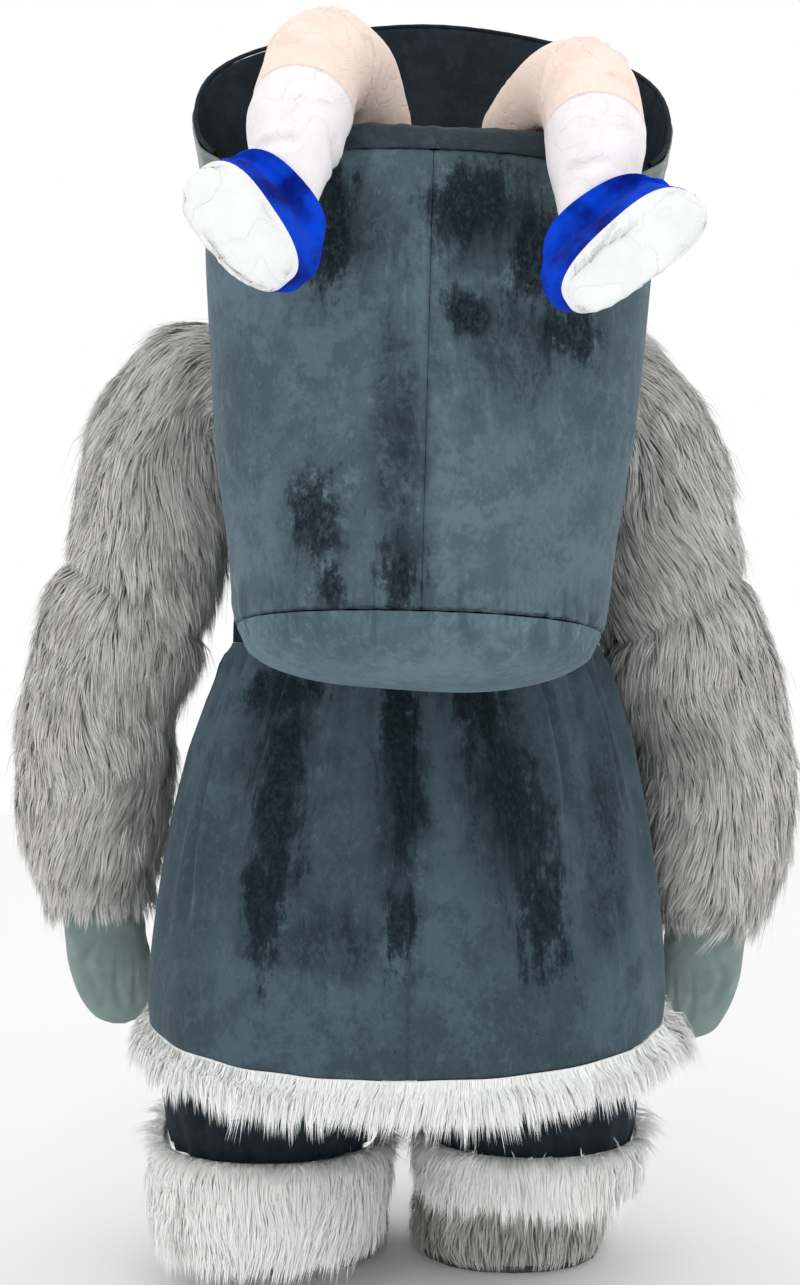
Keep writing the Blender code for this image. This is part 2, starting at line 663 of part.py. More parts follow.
def make_collar(frame):
    """Tall collar of two layers round the wearer's side of the lid, with a bound rim."""
    angles = spread(COLLAR_START, 360.0 - COLLAR_START, 23)
    lap = CLOTH + 4.0 * SEAM_GAP
    layers = {
        "collar_inner": ("velvet_dark", lap),
        "collar_outer": ("satin", lap + CLOTH + 2.0 * SEAM_GAP),
    }
    for name, (finish, lift) in layers.items():
        rows = [[collar_point(angle, height, lift) for angle in angles]
                for height in (0.0, 0.001, 0.3, 0.65, 1.0)]
        sew(name, rows, finish, frame, closed=False, inside=Vector((0.0, 0.0, 0.1)))
    rim = bpy.data.curves.new("collar_binding", "CURVE")
    rim.dimensions = "3D"
    rim.bevel_depth = BINDING_RADIUS
    rim.bevel_resolution = 1
    rim.use_fill_caps = True
    path = rim.splines.new("POLY")
    path.points.add(len(angles) - 1)
    for point, angle in zip(path.points, angles):
        place = collar_point(angle, 1.0, lap) + Vector((0.0, 0.0, BINDING_RADIUS + 0.002))
        point.co = (place.x, place.y, place.z, 1.0)
    rim.materials.append(make_finish("velvet_dark"))
    binding = bpy.data.objects.new("collar_binding", rim)
    bpy.data.collections["minotaur_costume"].objects.link(binding)
    binding.parent = frame


def make_straps(frame, basket_matrix):
    """Two straps from the belt over the shoulders to the basket's side that lies at the back."""
    route = Sections(("angle", "along", "lift"), (
        (158.0, 0.10, 0.0043), (156.0, 1.4, 0.0076), (152.0, 2.6, 0.007), (147.0, 3.8, 0.009),
        (138.0, 4.9, 0.010), (118.0, 5.55, 0.011), (90.0, 5.75, 0.012), (62.0, 5.55, 0.011),
        (46.0, 4.9, 0.011), (36.0, 4.2, 0.011)))
    for name, side in SIDES.items():
        middles = []
        for step in spread(0.0, route.last, 16):
            place = route.at(step)
            middles.append(torso_point(side * place["angle"], place["along"], place["lift"]))
        wall = basket_matrix @ basket_point(180.0 - side * 22.0, 4.35, 0.011)
        middles.append(middles[-1].lerp(wall, 0.55) - Vector((0.0, 0.0, 0.012)))
        middles.append(wall)
        rows = []
        for index, middle in enumerate(middles):
            ahead = middles[min(index + 1, len(middles) - 1)] - middles[max(index - 1, 0)]
            outward = Vector((middle.x * 0.6, middle.y, (middle.z - 1.70) * 1.6)).normalized()
            if index >= len(middles) - 2:
                outward = Vector((0.0, 0.3, 1.0))
            across = ahead.cross(outward).normalized() * (STRAP_WIDTH / 2.0)
            rows.append([middle - across, middle, middle + across])
        sew("strap_" + name, rows, "velvet_dark", frame, closed=False, inside=Vector((0.0, 0.0, 1.5)))


# Carried legs
def leg_ring(size, ahead):
    """A round section of a carried leg, square to the way the leg runs."""
    ahead = ahead.normalized()
    side = Vector((1.0, 0.0, 0.0))
    side = (side - ahead * side.dot(ahead)).normalized()
    up = ahead.cross(side)
    middle = Vector((size["x"], size["y"], size["w"]))
    ring = []
    for turn in spread(0.0, 360.0, LEG_SIDES + 1)[:-1]:
        across = side * math.cos(math.radians(turn)) + up * math.sin(math.radians(turn))
        ring.append(middle + across * size["radius"])
    return ring


def clear_of_basket(point):
    """The point, or one just outside the lid and the wall where the leg presses on them."""
    edge = BASKET_WALL.at(BASKET_WALL.last)
    reach = (abs(point.x / (edge["half_width"] + LEG_CLEARANCE)) ** BASKET_POWER
             + abs(point.y / (edge["half_depth"] + LEG_CLEARANCE)) ** BASKET_POWER) ** (1.0 / BASKET_POWER)
    if reach < 1.0:
        return Vector((point.x, point.y, max(point.z, lid_height(point.x, point.y) + LEG_CLEARANCE)))
    return point


def tube_rings(sections, count):
    """Rings along a carried leg's tube."""
    rings = []
    for along in spread(0.0, sections.last, count):
        low = sections.at(max(0.0, along - 0.2))
        high = sections.at(min(float(sections.last), along + 0.2))
        ahead = Vector([high[axis] - low[axis] for axis in ("x", "y", "w")])
        rings.append([clear_of_basket(point) for point in leg_ring(sections.at(along), ahead)])
    return rings


def sole_outline(shoe, scale, back, lift=0.0):
    """The shoe's outline, which is wider at the toe, some way behind its sole."""
    toe = Vector((shoe["toe"][0], 0.0, shoe["toe"][1])).normalized()
    square = Vector((toe.z, 0.0, -toe.x))
    middle = Vector(shoe["middle"]) + Vector((0.0, back, 0.0))
    points = []
    for turn in spread(0.0, 360.0, LEG_SIDES + 1)[:-1]:
        along = math.cos(math.radians(turn))
        length = (shoe["length"] / 2.0 + lift) * scale * along
        width = (shoe["width"] / 2.0 + lift) * scale * math.sin(math.radians(turn)) * (1.0 + 0.14 * along)
        points.append(middle + toe * length + square * width)
    return points


def nearest_turn(outline, ring):
    """The ring's points in the order and from the start that lie nearest to the outline's."""
    best = None
    for order in (ring, ring[::-1]):
        for start in range(len(order)):
            turned = order[start:] + order[:start]
            reach = sum((a - b).length_squared for a, b in zip(outline, turned))
            if best is None or reach < best[0]:
                best = (reach, turned)
    return best[1]


def make_carried_legs(frame):
    """Two stuffed legs that come out of the lid and hang over the basket's edge, soles outwards."""
    for name, leg in CARRIED_LEGS.items():
        thigh = tube_rings(leg["thigh"], 7)
        first = leg["thigh"].at(0.0)
        root = []
        for point in thigh[0]:
            x = leg["root"][0] + (point.x - first["x"])
            y = leg["root"][1] - first["radius"] * 0.95 * math.sin(math.atan2(
                point.z - first["w"], point.x - first["x"]))
            root.append(Vector((x, y, lid_height(x, y) + LEG_ROOT_GAP)))
        sew("leg_" + name, [root] + thigh, "peach_cloth", frame)
        sock = tube_rings(leg["sock"], 4)
        down = (sum(sock[1], Vector()) - sum(thigh[-1], Vector())).normalized()
        sock[0] = [point + down * SOCK_TUCK for point in thigh[-1]]
        sew("sock_" + name, sock, "white_cloth", frame)
        shoe = leg["shoe"]
        middle = sum(sock[-1], Vector()) / LEG_SIDES
        wide = 1.0 + (CLOTH + SHOE_EASE) / leg["sock"].at(leg["sock"].last)["radius"]
        ankle = nearest_turn(sole_outline(shoe, 1.0, 0.0),
                             [middle + (point - middle) * wide for point in sock[-1]])
        last = leg["sock"].at(leg["sock"].last)
        before = leg["sock"].at(leg["sock"].last - 0.2)
        ahead = Vector([last[axis] - before[axis] for axis in ("x", "y", "w")]).normalized()
        ankle = [point - ahead * SHOE_TOP_LAP for point in ankle]
        rows = [sole_outline(shoe, scale, back) for scale, back in
                ((1.00, SOLE_SEAM), (1.04, 0.020), (1.04, 0.045))]
        rows.append([band.lerp(ring, 0.42) + Vector((0.0, 0.012, 0.0))
                     for band, ring in zip(rows[-1], ankle)])
        rows.append([band.lerp(ring, 0.80) + Vector((0.0, 0.006, 0.0))
                     for band, ring in zip(rows[2], ankle)])
        rows.append(ankle)
        sew("shoe_" + name, rows, "blue_velvet", frame)
        rows = [sole_outline(shoe, scale, back) for scale, back in
                ((1.00, 0.0), (0.96, -0.008), (0.80, -0.014), (0.45, -0.017))]
        tip = Vector(shoe["middle"]) - Vector((0.0, 0.018, 0.0))
        sew("shoe_sole_" + name, rows, "white_cloth", frame, cap=tip,
            inside=Vector(shoe["middle"]) + Vector((0.0, 0.1, 0.0)))


# The whole costume
def main():
    """Clear the scene and make the costume, held at the wearer's shoulders."""
    for item in list(bpy.data.objects):
        bpy.data.objects.remove(item, do_unlink=True)
    collection = bpy.data.collections.new("minotaur_costume")
    bpy.context.scene.collection.children.link(collection)
    costume = bpy.data.objects.new("costume", None)
    costume.location = (0.0, 0.0, -HOLD_HEIGHT)
    collection.objects.link(costume)
    basket = bpy.data.objects.new("basket", None)
    basket.location = BASKET_PLACE
    basket.rotation_euler = (BASKET_LEAN, BASKET_ROLL, 0.0)
    basket.parent = costume
    collection.objects.link(basket)
    turned = Euler((BASKET_LEAN, BASKET_ROLL, 0.0)).to_matrix().to_4x4()
    basket_matrix = Matrix.Translation(BASKET_PLACE) @ turned

    make_bodice(costume)
    make_belt(costume)
    make_skirt(costume)
    make_breeches(costume)
    make_cuffs(costume)
    make_feet(costume)
    make_sleeves(costume)
    make_gloves(costume)
    make_hood(costume)
    make_straps(costume, basket_matrix)
    make_basket(basket)
    make_collar(basket)
    make_carried_legs(basket)
    bpy.context.view_layer.update()


main()
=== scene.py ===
import math

import bpy
import numpy as np
from bpy.props import FloatProperty, IntProperty, PointerProperty
from mathutils import Euler, Matrix, Vector
from mathutils.kdtree import KDTree


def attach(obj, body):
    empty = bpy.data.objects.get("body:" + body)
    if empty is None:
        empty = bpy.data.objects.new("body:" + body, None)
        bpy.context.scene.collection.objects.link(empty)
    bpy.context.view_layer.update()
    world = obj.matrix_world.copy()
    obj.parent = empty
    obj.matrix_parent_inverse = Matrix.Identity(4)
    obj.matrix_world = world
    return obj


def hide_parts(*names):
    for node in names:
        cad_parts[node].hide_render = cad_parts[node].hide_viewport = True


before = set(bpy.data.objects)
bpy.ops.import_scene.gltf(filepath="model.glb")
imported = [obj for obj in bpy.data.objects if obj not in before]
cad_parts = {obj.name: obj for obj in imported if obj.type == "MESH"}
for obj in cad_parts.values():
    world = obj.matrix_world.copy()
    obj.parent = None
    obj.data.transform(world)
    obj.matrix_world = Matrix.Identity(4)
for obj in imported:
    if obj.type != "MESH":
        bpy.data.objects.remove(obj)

bl_info = {
    "name": "Inflatable minotaur costume",
    "version": (1, 0, 0),
    "blender": (4, 5, 0),
    "location": "3D View > Sidebar > Costume",
    "description": "Fur, crushed velvet and stuffed cloth of a filled-out costume with a basket on its back",
    "category": "Object",
}

# Metres, +Z up. The wearer faces +Y, so the basket hangs on the -Y side. Heights in the tables are
# above the soles, and the finished pieces are lowered so that the wearer's shoulders are at z = 0.
HOLD_HEIGHT = 1.78
CLOTH = 0.0025              # velvet, satin, felt and cotton walls
BACKING = 0.003             # woven backing that the fur stands in
PILE_BED = 0.011            # the backing lies this far inside the fur's outer face
SEAM_GAP = 0.0003
SHOULDERS = np.array((0.0, 0.0, HOLD_HEIGHT))

BASKET_PLACE = (0.050, -0.545, 1.960 - HOLD_HEIGHT)
BASKET_LEAN = math.radians(-7.5)
BASKET_ROLL = math.radians(1.6)
BASKET_TURN = Euler((BASKET_LEAN, BASKET_ROLL, 0.0)).to_matrix().to_4x4()
BASKET_MATRIX = Matrix.Translation(BASKET_PLACE) @ BASKET_TURN
BASKET_POWER = 2.3
DOME_RISE = 0.090           # of the basket's lid, and of its bottom downwards
LID_EDGE = 0.004
COLLAR_START = 56.25        # degrees from the middle of the basket's outer side
COLLAR_HEIGHT = 0.480
COLLAR_FLARE = 0.046
COLLAR_LAP = 0.012
BINDING_RADIUS = 0.004
LEG_CLEARANCE = 0.0066      # how far the carried legs lie off the lid

GATHERS = 20
HEM_DROP = 0.085            # how much lower the hem hangs behind
SIDES = {"left": -1.0, "right": 1.0}
DRESSED = "_cloth"          # ends the name of the piece that stands for a CAD node


class Sections:
    """Sections of a tube from its first to its last, read smoothly anywhere between them."""

    def __init__(self, columns, rows):
        self.columns = columns
        self.rows = np.array(rows, float)
        self.last = len(rows) - 1

    def at(self, along):
        """Arrays of sizes at places along the tube, where whole numbers are the rows."""
        along = np.clip(np.asarray(along, float), 0.0, self.last)
        low = np.minimum(along.astype(int), self.last - 1)
        part = (along - low)[..., None]
        a = self.rows[np.maximum(low - 1, 0)]
        b = self.rows[low]
        c = self.rows[low + 1]
        d = self.rows[np.minimum(low + 2, self.last)]
        curve = (2 * a - 5 * b + 4 * c - d) * part ** 2 + (3 * b - a - 3 * c + d) * part ** 3
        sizes = 0.5 * (2 * b + (c - a) * part + curve)
        return dict(zip(self.columns, np.moveaxis(sizes, -1, 0)))


TORSO = Sections(
    ("z", "half_width", "half_depth", "middle_x", "middle_y"),
    ((1.3253, 0.346, 0.256, 0.026, 0.000),
     (1.420, 0.336, 0.268, 0.016, 0.000),
     (1.550, 0.325, 0.282, 0.006, 0.000),
     (1.660, 0.318, 0.285, 0.000, 0.000),
     (1.770, 0.303, 0.262, 0.000, 0.000),
     (1.850, 0.268, 0.215, 0.000, 0.004),
     (1.895, 0.212, 0.170, 0.000, 0.010),
     (1.915, 0.158, 0.144, 0.000, 0.012)))
BELT = Sections(
    ("z", "half_width", "half_depth", "middle_x"),
    ((1.3250, 0.3465, 0.2565, 0.026),
     (1.300, 0.357, 0.264, 0.028),
     (1.272, 0.360, 0.267, 0.029),
     (1.2508, 0.3615, 0.268, 0.030)))
SKIRT = Sections(
    ("z", "half_width", "half_depth", "middle_x", "gather", "drop"),
    ((1.2497, 0.3615, 0.268, 0.030, 0.000, 0.00),
     (1.205, 0.380, 0.287, 0.028, 0.008, 0.00),
     (1.100, 0.420, 0.325, 0.024, 0.008, 0.10),
     (0.980, 0.455, 0.362, 0.020, 0.007, 0.25),
     (0.850, 0.481, 0.395, 0.017, 0.006, 0.50),
     (0.720, 0.499, 0.420, 0.015, 0.005, 0.75),
     (0.630, 0.506, 0.432, 0.013, 0.004, 0.92),
     (0.575, 0.503, 0.436, 0.012, 0.004, 1.00)))
TRIM = Sections(
    ("down", "out"),
    ((0.0004, 0.000),
     (0.020, 0.030),
     (0.055, 0.048),
     (0.100, 0.046),
     (0.140, 0.028)))
SEAT = Sections(
    ("z", "half_width", "half_depth", "middle_x", "power"),
    ((1.2497, 0.3588, 0.2652, 0.030, 2.2),
     (1.150, 0.362, 0.268, 0.020, 2.4),
     (1.000, 0.385, 0.268, 0.008, 2.8),
     (0.870, 0.405, 0.263, 0.000, 3.1),
     (0.780, 0.420, 0.260, 0.000, 3.2)))
BREECHES = Sections(
    ("z", "middle_x", "half_width", "half_depth", "power"),
    ((0.7790, 0.2102, 0.2098, 0.260, 3.2),
     (0.660, 0.225, 0.205, 0.237, 2.6),
     (0.540, 0.238, 0.212, 0.226, 2.3),
     (0.440, 0.248, 0.219, 0.226, 2.2),
     (0.370, 0.252, 0.219, 0.226, 2.2),
     (0.315, 0.254, 0.210, 0.219, 2.2),
     (0.272, 0.255, 0.199, 0.207, 2.2)))
CUFF = Sections(
    ("hang", "out"),
    ((0.00, 0.0004),
     (0.12, 0.026),
     (0.40, 0.037),
     (0.72, 0.034),
     (1.00, 0.014)))
CUFF_EDGE = {"middle_x": 0.254, "half_width": 0.201, "half_depth": 0.211}     # the leg's size inside it
CUFF_TOP = 0.3246
CUFF_EASE = 0.011           # how far the cuff's upper edge stands off that size
CUFF_FRONT_HANG = 0.060
CUFF_BACK_HANG = {"left": 0.278, "right": 0.205}
CUFF_SPREAD = {"left": 1.0, "right": 0.72}
FOOT_POWER = 2.3
FOOT = Sections(
    ("z", "middle_x", "middle_y", "half_width", "half_depth"),
    ((0.0123, 0.226, 0.165, 0.186, 0.176),
     (0.045, 0.226, 0.165, 0.200, 0.190),
     (0.100, 0.229, 0.155, 0.200, 0.186),
     (0.160, 0.236, 0.115, 0.190, 0.172),
     (0.220, 0.243, 0.050, 0.170, 0.165),
     (0.280, 0.250, 0.005, 0.178, 0.184),
     (0.3240, 0.254, 0.000, 0.1927, 0.2027)))
RING_COLUMNS = ("x", "y", "z", "half_side", "half_depth", "turn")
UPPER_SLEEVE = Sections(RING_COLUMNS, (
    (0.378, 0.000, 1.762, 0.132, 0.140, 22.0),
    (0.435, 0.000, 1.700, 0.150, 0.155, 45.0),
    (0.473, 0.000, 1.617, 0.155, 0.163, 62.0),
    (0.490, 0.005, 1.532, 0.151, 0.163, 73.0),
    (0.506, 0.014, 1.447, 0.155, 0.162, 74.0),
    (0.529, 0.024, 1.352, 0.160, 0.163, 62.0)))
LOWER_SLEEVE = Sections(RING_COLUMNS, (
    (0.5294, 0.024, 1.3508, 0.160, 0.163, 62.0),
    (0.569, 0.035, 1.236, 0.163, 0.163, 78.0),
    (0.610, 0.050, 1.120, 0.152, 0.158, 88.0),
    (0.618, 0.070, 1.020, 0.158, 0.156, 92.0),
    (0.624, 0.095, 0.900, 0.150, 0.150, 94.0),
    (0.622, 0.120, 0.800, 0.132, 0.132, 95.0),
    (0.618, 0.140, 0.725, 0.100, 0.096, 95.0)))
GLOVE = Sections(RING_COLUMNS, (
    (0.6181, 0.137, 0.7385, 0.0893, 0.0853, 95.0),
    (0.618, 0.140, 0.725, 0.0893, 0.0853, 95.0),
    (0.616, 0.158, 0.665, 0.084, 0.062, 95.0),
    (0.610, 0.182, 0.590, 0.086, 0.050, 97.0),
    (0.602, 0.212, 0.520, 0.078, 0.042, 99.0),
    (0.592, 0.232, 0.468, 0.058, 0.034, 100.0),
    (0.586, 0.238, 0.444, 0.028, 0.020, 100.0)))
ARM_DROP = {"left": 0.0, "right": 0.030}
ARM_OUT = {"left": 0.0, "right": 0.018}
SLEEVE_EASE = 0.973
ARMHOLE = {"angle": 90.0, "along": 3.85, "half_angle": 33.0, "half_along": 1.45}
HOOD = Sections(
    ("z", "middle_x", "middle_y", "half_width", "half_depth"),
    ((1.9153, 0.0, 0.012, 0.1575, 0.1435),
     (1.970, 0.0, 0.028, 0.152, 0.152),
     (2.050, 0.0, 0.048, 0.166, 0.180),
     (2.140, 0.0, 0.055, 0.176, 0.194),
     (2.230, 0.0, 0.055, 0.170, 0.188),
     (2.305, 0.0, 0.050, 0.136, 0.152),
     (2.345, 0.0, 0.046, 0.075, 0.088)))
BASKET_WALL = Sections(
    ("w", "half_width", "half_depth"),
    ((-0.700, 0.292, 0.230),
     (-0.680, 0.300, 0.237),
     (-0.560, 0.316, 0.246),
     (-0.400, 0.339, 0.260),
     (-0.200, 0.361, 0.274),
     (-0.060, 0.372, 0.281),
     (0.000, 0.368, 0.277)))
LEG_COLUMNS = ("x", "y", "w", "radius")
CARRIED_LEGS = {
    "left": {
        "root": (-0.110, 0.015),
        "thigh": Sections(LEG_COLUMNS, (
            (-0.118, -0.020, 0.150, 0.084),
            (-0.135, -0.085, 0.176, 0.086),
            (-0.160, -0.165, 0.176, 0.087),
            (-0.180, -0.235, 0.140, 0.083),
            (-0.188, -0.278, 0.098, 0.076))),
        "sock": Sections(LEG_COLUMNS, (
            (-0.1881, -0.2783, 0.0977, 0.076),
            (-0.194, -0.320, 0.045, 0.076),
            (-0.202, -0.356, -0.020, 0.074),
            (-0.208, -0.378, -0.080, 0.059))),
        "shoe": {"middle": (-0.263, -0.476, -0.212), "toe": (-0.65, 0.76),
                 "length": 0.205, "width": 0.104},
    },
    "right": {
        "root": (0.150, 0.015),
        "thigh": Sections(LEG_COLUMNS, (
            (0.158, -0.020, 0.132, 0.080),
            (0.182, -0.085, 0.146, 0.082),
            (0.214, -0.165, 0.143, 0.084),
            (0.232, -0.232, 0.110, 0.081),
            (0.238, -0.276, 0.068, 0.076))),
        "sock": Sections(LEG_COLUMNS, (
            (0.2381, -0.2763, 0.0677, 0.076),
            (0.238, -0.322, 0.015, 0.075),
            (0.234, -0.356, -0.045, 0.073),
            (0.230, -0.376, -0.100, 0.059))),
        "shoe": {"middle": (0.272, -0.474, -0.228), "toe": (0.75, 0.66),
                 "length": 0.228, "width": 0.100},
    },
}


# Settings in the sidebar
class CostumeSettings(bpy.types.PropertyGroup):
    """Sizes of the costume's looks."""

    fur_length: FloatProperty(
        name="Fur Length", description="Length of the long grey strands",
        default=0.088, min=0.02, max=0.15, subtype="DISTANCE", unit="LENGTH")
    trim_length: FloatProperty(
        name="Trim Length", description="Length of the white strands of hem and cuffs",
        default=0.078, min=0.02, max=0.15, subtype="DISTANCE", unit="LENGTH")
    fur_density: FloatProperty(
        name="Fur Density", description="Share of the full number of strands",
        default=1.0, min=0.05, max=1.0, subtype="FACTOR")
    fold_depth: FloatProperty(
        name="Fold Depth", description="Depth of folds and creases against their usual depth",
        default=1.0, min=0.0, max=2.0, subtype="FACTOR")
    key_light: FloatProperty(
        name="Key Light", description="Power of the large lamp behind the camera",
        default=34.0, min=0.0, max=1000.0, subtype="POWER", unit="POWER")
    seed: IntProperty(
        name="Seed", description="Start of the random numbers for the strands",
        default=11, min=0, max=1000)


def settings():
    """The costume's settings in the current scene."""
    return bpy.context.scene.costume_settings


# Surfaces, for arrays of angles in degrees and of places along a table
def stack(x, y, z):
    """Points from arrays of their coordinates."""
    x, y, z = np.broadcast_arrays(x, y, z)
    return np.stack((x, y, z), -1).astype(float)


def round_section(degrees, half_width, half_depth, power=2.2):
    """Offsets on a section between an ellipse and a rectangle; 0 degrees is its -Y side."""
    across = np.sin(np.radians(degrees))
    back = -np.cos(np.radians(degrees))
    size = (np.abs(across) ** power + np.abs(back) ** power) ** (-1.0 / power)
    return half_width * across * size, half_depth * back * size


def section_point(size, degrees, lift, power=2.2, side=1.0):
    """Points on level sections of the given sizes, moved out by a lift."""
    x, y = round_section(degrees, size["half_width"] + lift, size["half_depth"] + lift, power)
    y = size.get("middle_y", 0.0) + y
    return stack(side * (size["middle_x"] + x), y, size["z"] - HOLD_HEIGHT)


def torso_point(degrees, along, lift=0.0):
    """Points on the tunic's body; 0 degrees is the middle of the back, 90 the wearer's right."""
    return section_point(TORSO.at(along), degrees, lift)


def belt_point(degrees, along, lift=0.0):
    """Points on the waistband."""
    return section_point(BELT.at(along), degrees, lift)


def skirt_point(degrees, along, lift=0.0):
    """Points on the skirt, with its gathers and the hem that hangs lower behind."""
    size = SKIRT.at(along)
    turn = np.radians(degrees)
    wander = 0.5 * np.sin(3.0 * turn + 0.8) + 0.35 * np.sin(7.0 * turn + 2.0)
    uneven = 0.75 + 0.45 * np.sin(5.0 * turn + 1.3) * np.sin(2.0 * turn + 0.4)
    ripple = size["gather"] * uneven * np.cos(GATHERS * turn + wander)
    x, y = round_section(degrees, size["half_width"] + ripple + lift,
                         size["half_depth"] + ripple + lift)
    behind = (1.0 + np.cos(turn)) / 2.0
    height = size["z"] - HEM_DROP * size["drop"] * behind
    return stack(size["middle_x"] + x, y, height - HOLD_HEIGHT)


def trim_point(degrees, along, lift=0.0):
    """Points on the outer face of the fur band under the hem."""
    size = TRIM.at(along)
    point = skirt_point(degrees, np.full_like(degrees, SKIRT.last, dtype=float), size["out"] + lift)
    return point - stack(0.0 * degrees, 0.0 * degrees, size["down"])


def seat_point(degrees, along, lift=0.0):
    """Points on the seat of the breeches."""
    size = SEAT.at(along)
    return section_point(size, degrees, lift, size["power"])


def breeches_point(side):
    """The surface of one leg of the breeches."""
    def surface(degrees, along, lift=0.0):
        size = BREECHES.at(along)
        return section_point(size, degrees, lift, size["power"], side)
    return surface


def cuff_point(name, side):
    """The outer face of one white fur cuff, long behind and short over the instep."""
    def surface(degrees, along, lift=0.0):
        size = CUFF.at(along)
        out = size["out"] * np.where(np.asarray(along) > 0.0, CUFF_SPREAD[name], 1.0) + lift
        behind = np.clip((np.cos(np.radians(degrees)) + 0.45) / 0.9, 0.0, 1.0)
        behind = behind * behind * (3.0 - 2.0 * behind)
        hang = CUFF_FRONT_HANG + (CUFF_BACK_HANG[name] - CUFF_FRONT_HANG) * behind
        x, y = round_section(degrees, CUFF_EDGE["half_width"] + out, CUFF_EDGE["half_depth"] + out)
        height = CUFF_TOP - hang * size["hang"]
        return stack(side * (CUFF_EDGE["middle_x"] + x), y, height - HOLD_HEIGHT)
    return surface


def foot_point(side):
    """The outer face of one fur foot."""
    def surface(degrees, along, lift=0.0):
        return section_point(FOOT.at(along), degrees, lift, FOOT_POWER, side)
    return surface


def ring_point(table, name, side, shoulder=False):
    """The outer face of a sleeve or glove; 0 degrees is its outer side and 90 its front."""
    def surface(degrees, along, lift=0.0):
        size = table.at(along)
        share = np.minimum(1.0, np.asarray(along) / 3.0) if shoulder else 1.0
        turn = np.radians(size["turn"])
        across = (size["half_side"] + lift) * np.cos(np.radians(degrees))
        x = size["x"] + ARM_OUT[name] * share + across * np.sin(turn)
        y = size["y"] + (size["half_depth"] + lift) * np.sin(np.radians(degrees))
        z = size["z"] - ARM_DROP[name] * share + across * np.cos(turn)
        return stack(side * x, y, z - HOLD_HEIGHT)
    return surface


def armhole_point(degrees, side, lift=0.0):
    """Points just inside the armhole's edge; 0 degrees is its top and 90 its front."""
    angle = ARMHOLE["angle"] + SLEEVE_EASE * ARMHOLE["half_angle"] * np.sin(np.radians(degrees))
    along = ARMHOLE["along"] + SLEEVE_EASE * ARMHOLE["half_along"] * np.cos(np.radians(degrees))
    return torso_point(side * angle, along, lift)


def panel_edge(along):
    """How many degrees a panel is cut back from the side seam by the armhole."""
    reach = (along - ARMHOLE["along"]) / ARMHOLE["half_along"]
    return ARMHOLE["half_angle"] * np.sqrt(np.maximum(0.0, 1.0 - reach ** 2))


def hood_point(degrees, along, lift=0.0):
    """Points on the hood, with the same angles as the body."""
    return section_point(HOOD.at(along), degrees, lift, 2.0)


def basket_point(degrees, along, lift=0.0):
    """Points on the basket's wall in its own frame; 0 degrees is the side away from the wearer."""
    size = BASKET_WALL.at(along)
    x, y = round_section(degrees, size["half_width"] + lift, size["half_depth"] + lift, BASKET_POWER)
    return stack(x, y, size["w"])


def rim_reach(points, clearance=0.0):
    """How far out points lie over the basket's rim, which is at 1."""
    edge = BASKET_WALL.at(BASKET_WALL.last)
    across = np.abs(points[..., 0] / (edge["half_width"] + clearance)) ** BASKET_POWER
    deep = np.abs(points[..., 1] / (edge["half_depth"] + clearance)) ** BASKET_POWER
    return (across + deep) ** (1.0 / BASKET_POWER)


def lid_height(points):
    """Heights of the lid's dome above its seam."""
    return SEAM_GAP + LID_EDGE + DOME_RISE * np.sqrt(np.maximum(0.0, 1.0 - rim_reach(points) ** 3))


def collar_point(degrees, height, lift):
    """Points of the collar: height 0 is its lap on the wall and 1 its rim."""
    share = (degrees - COLLAR_START) / (360.0 - 2.0 * COLLAR_START)
    rise = COLLAR_HEIGHT * np.maximum(0.0, np.sin(np.pi * share)) ** 1.3
    last = np.full_like(degrees, BASKET_WALL.last, dtype=float)
    flare = COLLAR_FLARE * height * np.sqrt(rise / COLLAR_HEIGHT)
    lap = basket_point(degrees, last, lift) - np.array((0.0, 0.0, COLLAR_LAP))
    upper = basket_point(degrees, last, lift + flare)
    upper = upper + stack(0.0 * degrees, 0.0 * degrees, 0.020 + rise * height)
    return np.where((height <= 0.0)[..., None], lap, upper)


def in_row_frame(points):
    """Points of the basket's frame where they are on the costume."""
    turn = np.array(BASKET_MATRIX)[:3]
    return points @ turn[:, :3].T + turn[:, 3]


